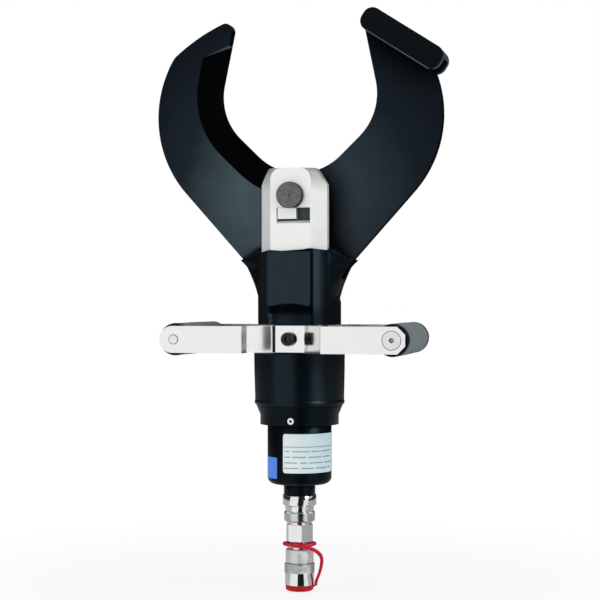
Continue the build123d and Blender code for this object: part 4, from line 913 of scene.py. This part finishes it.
def makeSleeve():
    s = sleeveSet
    low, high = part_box("barrel_sleeve")
    foot, top = low.z / mm, high.z / mm
    lip, rim = s["footRadius"] + s["lip"], s["topRadius"]

    def bend(p, angle):
        if p.x <= s["inside"] + 0.5:
            return p
        up = (p.y - foot) / (top - foot)
        broad, fine = s["waves"]
        return p.x + broad * math.sin(2 * angle + 1.1) + fine * math.sin(5 * angle + 4 * up), p.y

    line = roundedLine([
        (s["inside"], foot, 0), (lip, foot, 1.1), (lip, foot + 3.0, 1.0), (s["footRadius"], foot + 4.6, 1.0),
        *[(radius, foot + up, 0) for radius, up in s["bulge"]],
        (rim - 0.15, top - 3, 0), (rim - 0.2, top, 1.4), (s["inside"], top, 0),
    ])
    sleeve = turned("sleeve", line, finish["sleeve"], s["steps"], bend)
    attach(sleeve, "body")
    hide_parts("barrel_sleeve")


makeSleeve()
print("sleeve made")


# grips: foam rubber tubes, a little crowned, rounded at both ends

gripSet = {"crown": 0.35, "end": 2.0, "bore": 5.3, "radius": 15.85, "rings": 40, "around": 72}


def makeGrip(name, node):
    g = gripSet
    low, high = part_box(node)
    half = (high.y - low.y) / 2 / mm
    side = g["radius"] - g["crown"]
    corners = [(g["bore"], -half, 0), (side, -half, g["end"]), (side, half, g["end"]), (g["bore"], half, 0)]
    line = cutRuns(roundedLine(corners, 6), g["rings"], lambda p, after: (after - p).length > half)
    for p in line:
        if p.x > g["bore"] + 1:
            p.x += g["crown"] * (1 - (p.y / half) ** 2)
    piece = turnedAcross(name, line, (low + high) / 2, finish["grip"], g["around"])
    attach(piece, "body")
    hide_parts(node)


makeGrip("gripLeft", "grip_left")
makeGrip("gripRight", "grip_right")
print("grips made")


# the seams round the countersunk screws and the rivets in the bars' faces

seamSet = {"width": 0.55, "thick": 0.04, "steps": 48, "screw": 8.75, "rivet": 4.3}
frontFace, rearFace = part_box("handle_bar_front")[0].y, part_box("handle_bar_rear")[1].y
gripMiddle = (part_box("grip_right")[0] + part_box("grip_right")[1]) / 2


def makeSeam(name, x, face, radius):  # a thin dark ring lying on a bar's face
    s = seamSet
    outer, thick = radius + s["width"], s["thick"]
    line = [(radius, -thick), (outer, -thick), (outer, thick), (radius, thick)]
    seam = turnedAcross(name, line, Vector((x, face, gripMiddle.z)), finish["gap"], s["steps"])
    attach(seam, "body")


makeSeam("seamScrewFront", gripMiddle.x, frontFace, seamSet["screw"])
makeSeam("seamScrewRear", -gripMiddle.x, rearFace, seamSet["screw"])
makeSeam("seamRivetFront", -gripMiddle.x, frontFace, seamSet["rivet"])
makeSeam("seamRivetRear", gripMiddle.x, rearFace, seamSet["rivet"])
print("seams made")


# coupler collar with its diamond knurl, and the swivel ring with a finer one

collarSet = {  # mm
    "bore": 11.3, "smooth": 14.5, "outer": 15.08, "long": 9.5,
    "teeth": 44, "depth": 0.5, "fade": 0.6, "steps": 480, "rows": 40,
}
swivelSet = {
    "bore": 12.2, "outer": 15.4, "edge": 1.5,
    "teeth": 96, "depth": 0.04, "fade": 0.6, "steps": 576, "rows": 36,
}


def knurledRing(name, knurl, corners, band, material):
    # the profile's long face inside the band is cut into rows, and raised and lowered tooth by tooth
    foot, top = band
    middle = (foot + top) / 2

    def isLong(p, after):
        upright = abs(after.x - p.x) < 0.01 and p.x > knurl["bore"] + 0.5
        return upright and min(p.y, after.y) < middle < max(p.y, after.y)

    line = cutRuns(roundedLine(corners, 4), knurl["rows"], isLong)
    outer = max(p.x for p in line)
    pitch = 2 * math.pi * outer / knurl["teeth"]

    def bend(p, angle):
        if p.x <= outer - 0.02 or not foot <= p.y <= top:
            return p
        across, along = angle * knurl["teeth"], 2 * math.pi * p.y / pitch
        ridge = (math.cos(across + along) + math.cos(across - along)) / 4 + 0.5
        fade = min(1.0, (p.y - foot) / knurl["fade"], (top - p.y) / knurl["fade"])
        return p.x - knurl["depth"] * (1 - ridge) * max(0.0, fade), p.y

    return turned(name, line, material, knurl["steps"], bend, sharpAngle=60)


def makeCollar():
    c = collarSet
    low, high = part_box("coupler_collar")
    foot, top = low.z / mm, high.z / mm
    step = top - c["long"]
    collar = knurledRing("collar", c, [
        (c["bore"], foot, 0), (c["smooth"], foot, 0.7), (c["smooth"], step, 0),
        (c["outer"], step + 0.6, 0.3), (c["outer"], top, 0.7), (c["bore"], top, 0),
    ], (step + 0.9, top - 0.7), finish["knurl"])
    # the smooth half of the collar is polished
    collar.data.materials.append(finish["nickel"])
    for face in collar.data.polygons:
        if face.center.z < (step + 0.5) * mm:
            face.material_index = 1
    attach(collar, "collar")
    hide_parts("coupler_collar")


def makeSwivel():
    w = swivelSet
    low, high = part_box("swivel_ring")
    foot, top = low.z / mm, high.z / mm
    edge, inner = w["edge"], w["outer"] - w["edge"]
    swivel = knurledRing("swivel", w, [
        (w["bore"], foot, 0), (inner, foot, 0.3), (w["outer"], foot + edge, 0.4),
        (w["outer"], top - edge, 0.4), (inner, top, 0.3), (w["bore"], top, 0),
    ], (foot + edge + 0.3, top - edge - 0.3), finish["swivel"])
    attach(swivel, "body")
    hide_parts("swivel_ring")


makeCollar()
makeSwivel()
print("collar and swivel made")


# dust cap and its strap: one moulding of soft PVC

capSet = {  # mm
    "centre": 0.4, "radius": 14.0, "wall": 1.4, "base": 1.6,
    "tabFrom": 13.0, "tabHalf": 1.7, "tabThick": 1.4, "tabCorner": 0.8,
}


def makeTab(end, top):  # a small slab with rounded corners at the cap's rim
    c = capSet
    start, half = c["tabFrom"], c["tabHalf"]
    corner = c["tabCorner"]
    outline = roundedLine([(start, -half, 0), (end, -half, corner), (end, half, corner), (start, half, 0)])
    points = [(p.x * mm, p.y * mm, z * mm) for z in (top - c["tabThick"], top) for p in outline]
    count = len(outline)
    faces = [tuple(range(count - 1, -1, -1)), tuple(range(count, 2 * count))]
    faces += [(i, (i + 1) % count, (i + 1) % count + count, i + count) for i in range(count)]
    return makePiece("dustCapTab", points, faces, finish["red"])


def makeCap():
    c = capSet
    low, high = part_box("dust_cap")
    floor, rim = low.z / mm, high.z / mm
    radius, inside = c["radius"], c["radius"] - c["wall"]
    line = roundedLine([
        (c["centre"], floor, 0), (radius - 4.0, floor, 0), (radius - 0.2, floor + 0.5, 2.0),
        (radius, rim - 1.4, 0.3), (radius, rim, 0.5),
        (inside, rim, 0.4), (inside, floor + c["base"], 0.6), (c["centre"], floor + c["base"], 0),
    ])
    cap = turned("dustCap", line, finish["red"])
    tab = makeTab(high.x / mm, rim)
    for piece in (cap, tab):
        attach(piece, "cap")
    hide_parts("dust_cap")


strapSet = {  # mm
    "ringInner": 10.6, "ringOuter": 17.0, "ringBelow": 0.2, "ringThick": 2.6,
    "half": 1.9, "thick": 3.0, "around": 12, "flat": (0.6, 0.75),  # how square its section is
    "route": [  # from the ring's front, round its right side and down to the cap's tab
        (-3.2, -15.2, 44.5), (2.2, -15.6, 44.2), (7.2, -15.5, 44.0), (16.5, -13.0, 42.0), (23.0, -9.0, 36.5),
        (24.4, -6.0, 31.0), (23.1, -3.5, 23.3), (19.5, -1.0, 12.3), (16.4, 0.0, 7.0), (16.6, 0.0, 3.4),
    ],
}


def makeStrapRing():
    s = strapSet
    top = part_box("cap_strap")[1].z / mm - s["ringBelow"]
    foot = top - s["ringThick"]
    inner, outer = s["ringInner"], s["ringOuter"]
    line = roundedLine([(inner, foot, 0.5), (outer, foot, 1.2), (outer, top, 1.2), (inner, top, 0.5)])
    ring = turned("strapRing", line, finish["strap"])
    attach(ring, "body")


def strapLine():  # a smooth line along the route
    curve = bpy.data.curves.new("strapLine", "CURVE")
    curve.dimensions = "3D"
    curve.resolution_u = 16
    spline = curve.splines.new("NURBS")
    spline.points.add(len(strapSet["route"]) - 1)
    for point, p in zip(spline.points, strapSet["route"]):
        point.co = (p[0] * mm, p[1] * mm, p[2] * mm, 1)
    spline.order_u = 4
    spline.use_endpoint_u = True
    holder = bpy.data.objects.new("strapLine", curve)
    scene.collection.objects.link(holder)
    mesh = bpy.data.meshes.new_from_object(holder.evaluated_get(bpy.context.evaluated_depsgraph_get()))
    line = [v.co.copy() for v in mesh.vertices]
    bpy.data.objects.remove(holder)
    bpy.data.meshes.remove(mesh)
    return line


def makeStrap():
    # a flat band, round at its edges, hung in a bow from the ring to the cap's tab
    s = strapSet
    line = strapLine()
    count = s["around"]
    points, faces = [], []
    for i, here in enumerate(line):
        ahead = (line[min(i + 1, len(line) - 1)] - line[max(i - 1, 0)]).normalized()
        away = Vector((here.x, here.y, 0)).normalized()  # the band's flat side looks away from the axis
        across = ahead.cross(away).normalized()
        out = across.cross(ahead).normalized()
        for angle in angles(count):
            a, b = math.cos(angle), math.sin(angle)
            wide = math.copysign(abs(a) ** s["flat"][0], a) * s["half"] * mm
            thick = math.copysign(abs(b) ** s["flat"][1], b) * s["thick"] / 2 * mm
            points.append(here + across * wide + out * thick)
    for i in range(len(line) - 1):
        for k in range(count):
            other = (k + 1) % count
            faces.append((i * count + k, i * count + other, (i + 1) * count + other, (i + 1) * count + k))
    faces.append(tuple(range(count)))
    faces.append(tuple(range(len(points) - 1, len(points) - 1 - count, -1)))
    strap = makePiece("strap", points, faces, finish["strap"])
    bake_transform(strap)
    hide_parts("cap_strap")


makeCap()
makeStrapRing()
makeStrap()
print("cap and strap made")


# label and sticker on the end cap

filmSet = {"radius": 32.0, "gap": 0.02, "lift": 0.12, "ink": 0.15, "column": 1.0}  # mm
labelSet = {
    "from": -17.5, "to": 92.0, "low": 118.0, "high": 156.5, "corner": 2.2,
    "rule": (0.015, 0.985, 143.8, 0.6), "barTall": 1.1, "barCorner": 0.05,
    "rows": [  # plain printed bars: height, and the bars' ends as shares of the label's width
        (139.4, [(0.03, 0.11), (0.15, 0.44), (0.47, 0.62), (0.65, 0.94)]),
        (133.8, [(0.03, 0.13), (0.16, 0.38), (0.42, 0.66), (0.69, 0.90)]),
        (128.2, [(0.02, 0.24), (0.29, 0.40), (0.43, 0.70), (0.73, 0.96)]),
        (122.9, [(0.02, 0.26), (0.30, 0.52), (0.55, 0.78), (0.81, 0.92)]),
    ],
}
stickerSet = {"from": -67.0, "to": -31.0, "low": 111.6, "high": 132.6, "corner": 0.6}


def filmShell(film, lift):  # points and faces of one thin film; its angles run from the front to the right
    f = filmSet
    width = math.radians(film["to"] - film["from"]) * f["radius"]
    columns = max(2, int(width / f["column"]))
    points = []
    for layer in (0.0, lift):
        radius = (f["radius"] + f["gap"] + layer) * mm
        for i in range(columns + 1):
            across = width * i / columns
            short = film["corner"] - min(across, width - across, film["corner"])
            inset = film["corner"] - math.sqrt(film["corner"] ** 2 - short ** 2)
            angle = math.radians(film["from"]) + across / f["radius"]
            for height in (film["low"] + inset, film["high"] - inset):
                points.append((radius * math.sin(angle), -radius * math.cos(angle), height * mm))
    base, last = 2 * (columns + 1), 2 * columns
    faces = [(0, base, base + 1, 1), (last, last + 1, base + last + 1, base + last)]
    for i in range(columns):
        a, b = 2 * i, 2 * i + 2
        faces += [
            (base + a, base + b, base + b + 1, base + a + 1), (a, a + 1, b + 1, b),
            (a, b, base + b, base + a), (a + 1, base + a + 1, base + b + 1, b + 1),
        ]
    return points, faces


def wrapped(name, films, material, lift):
    points, faces = [], []
    for film in films:
        filmPoints, filmFaces = filmShell(film, lift)
        faces += [tuple(len(points) + i for i in face) for face in filmFaces]
        points += filmPoints
    piece = makePiece(name, points, faces, material)
    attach(piece, "body")


def printed(start, end, height, tall):  # a bar of print, its ends as shares of the label's width
    span = labelSet["to"] - labelSet["from"]
    return {
        "from": labelSet["from"] + span * start, "to": labelSet["from"] + span * end,
        "low": height - tall / 2, "high": height + tall / 2, "corner": labelSet["barCorner"],
    }


bars = [printed(*ends, height, labelSet["barTall"]) for height, row in labelSet["rows"] for ends in row]
wrapped("label", [labelSet], finish["label"], filmSet["lift"])
wrapped("sticker", [stickerSet], finish["blueFilm"], filmSet["lift"])
wrapped("labelRule", [printed(*labelSet["rule"])], finish["labelRule"], filmSet["ink"])
wrapped("labelRows", bars, finish["labelInk"], filmSet["ink"])
print("label and sticker made")
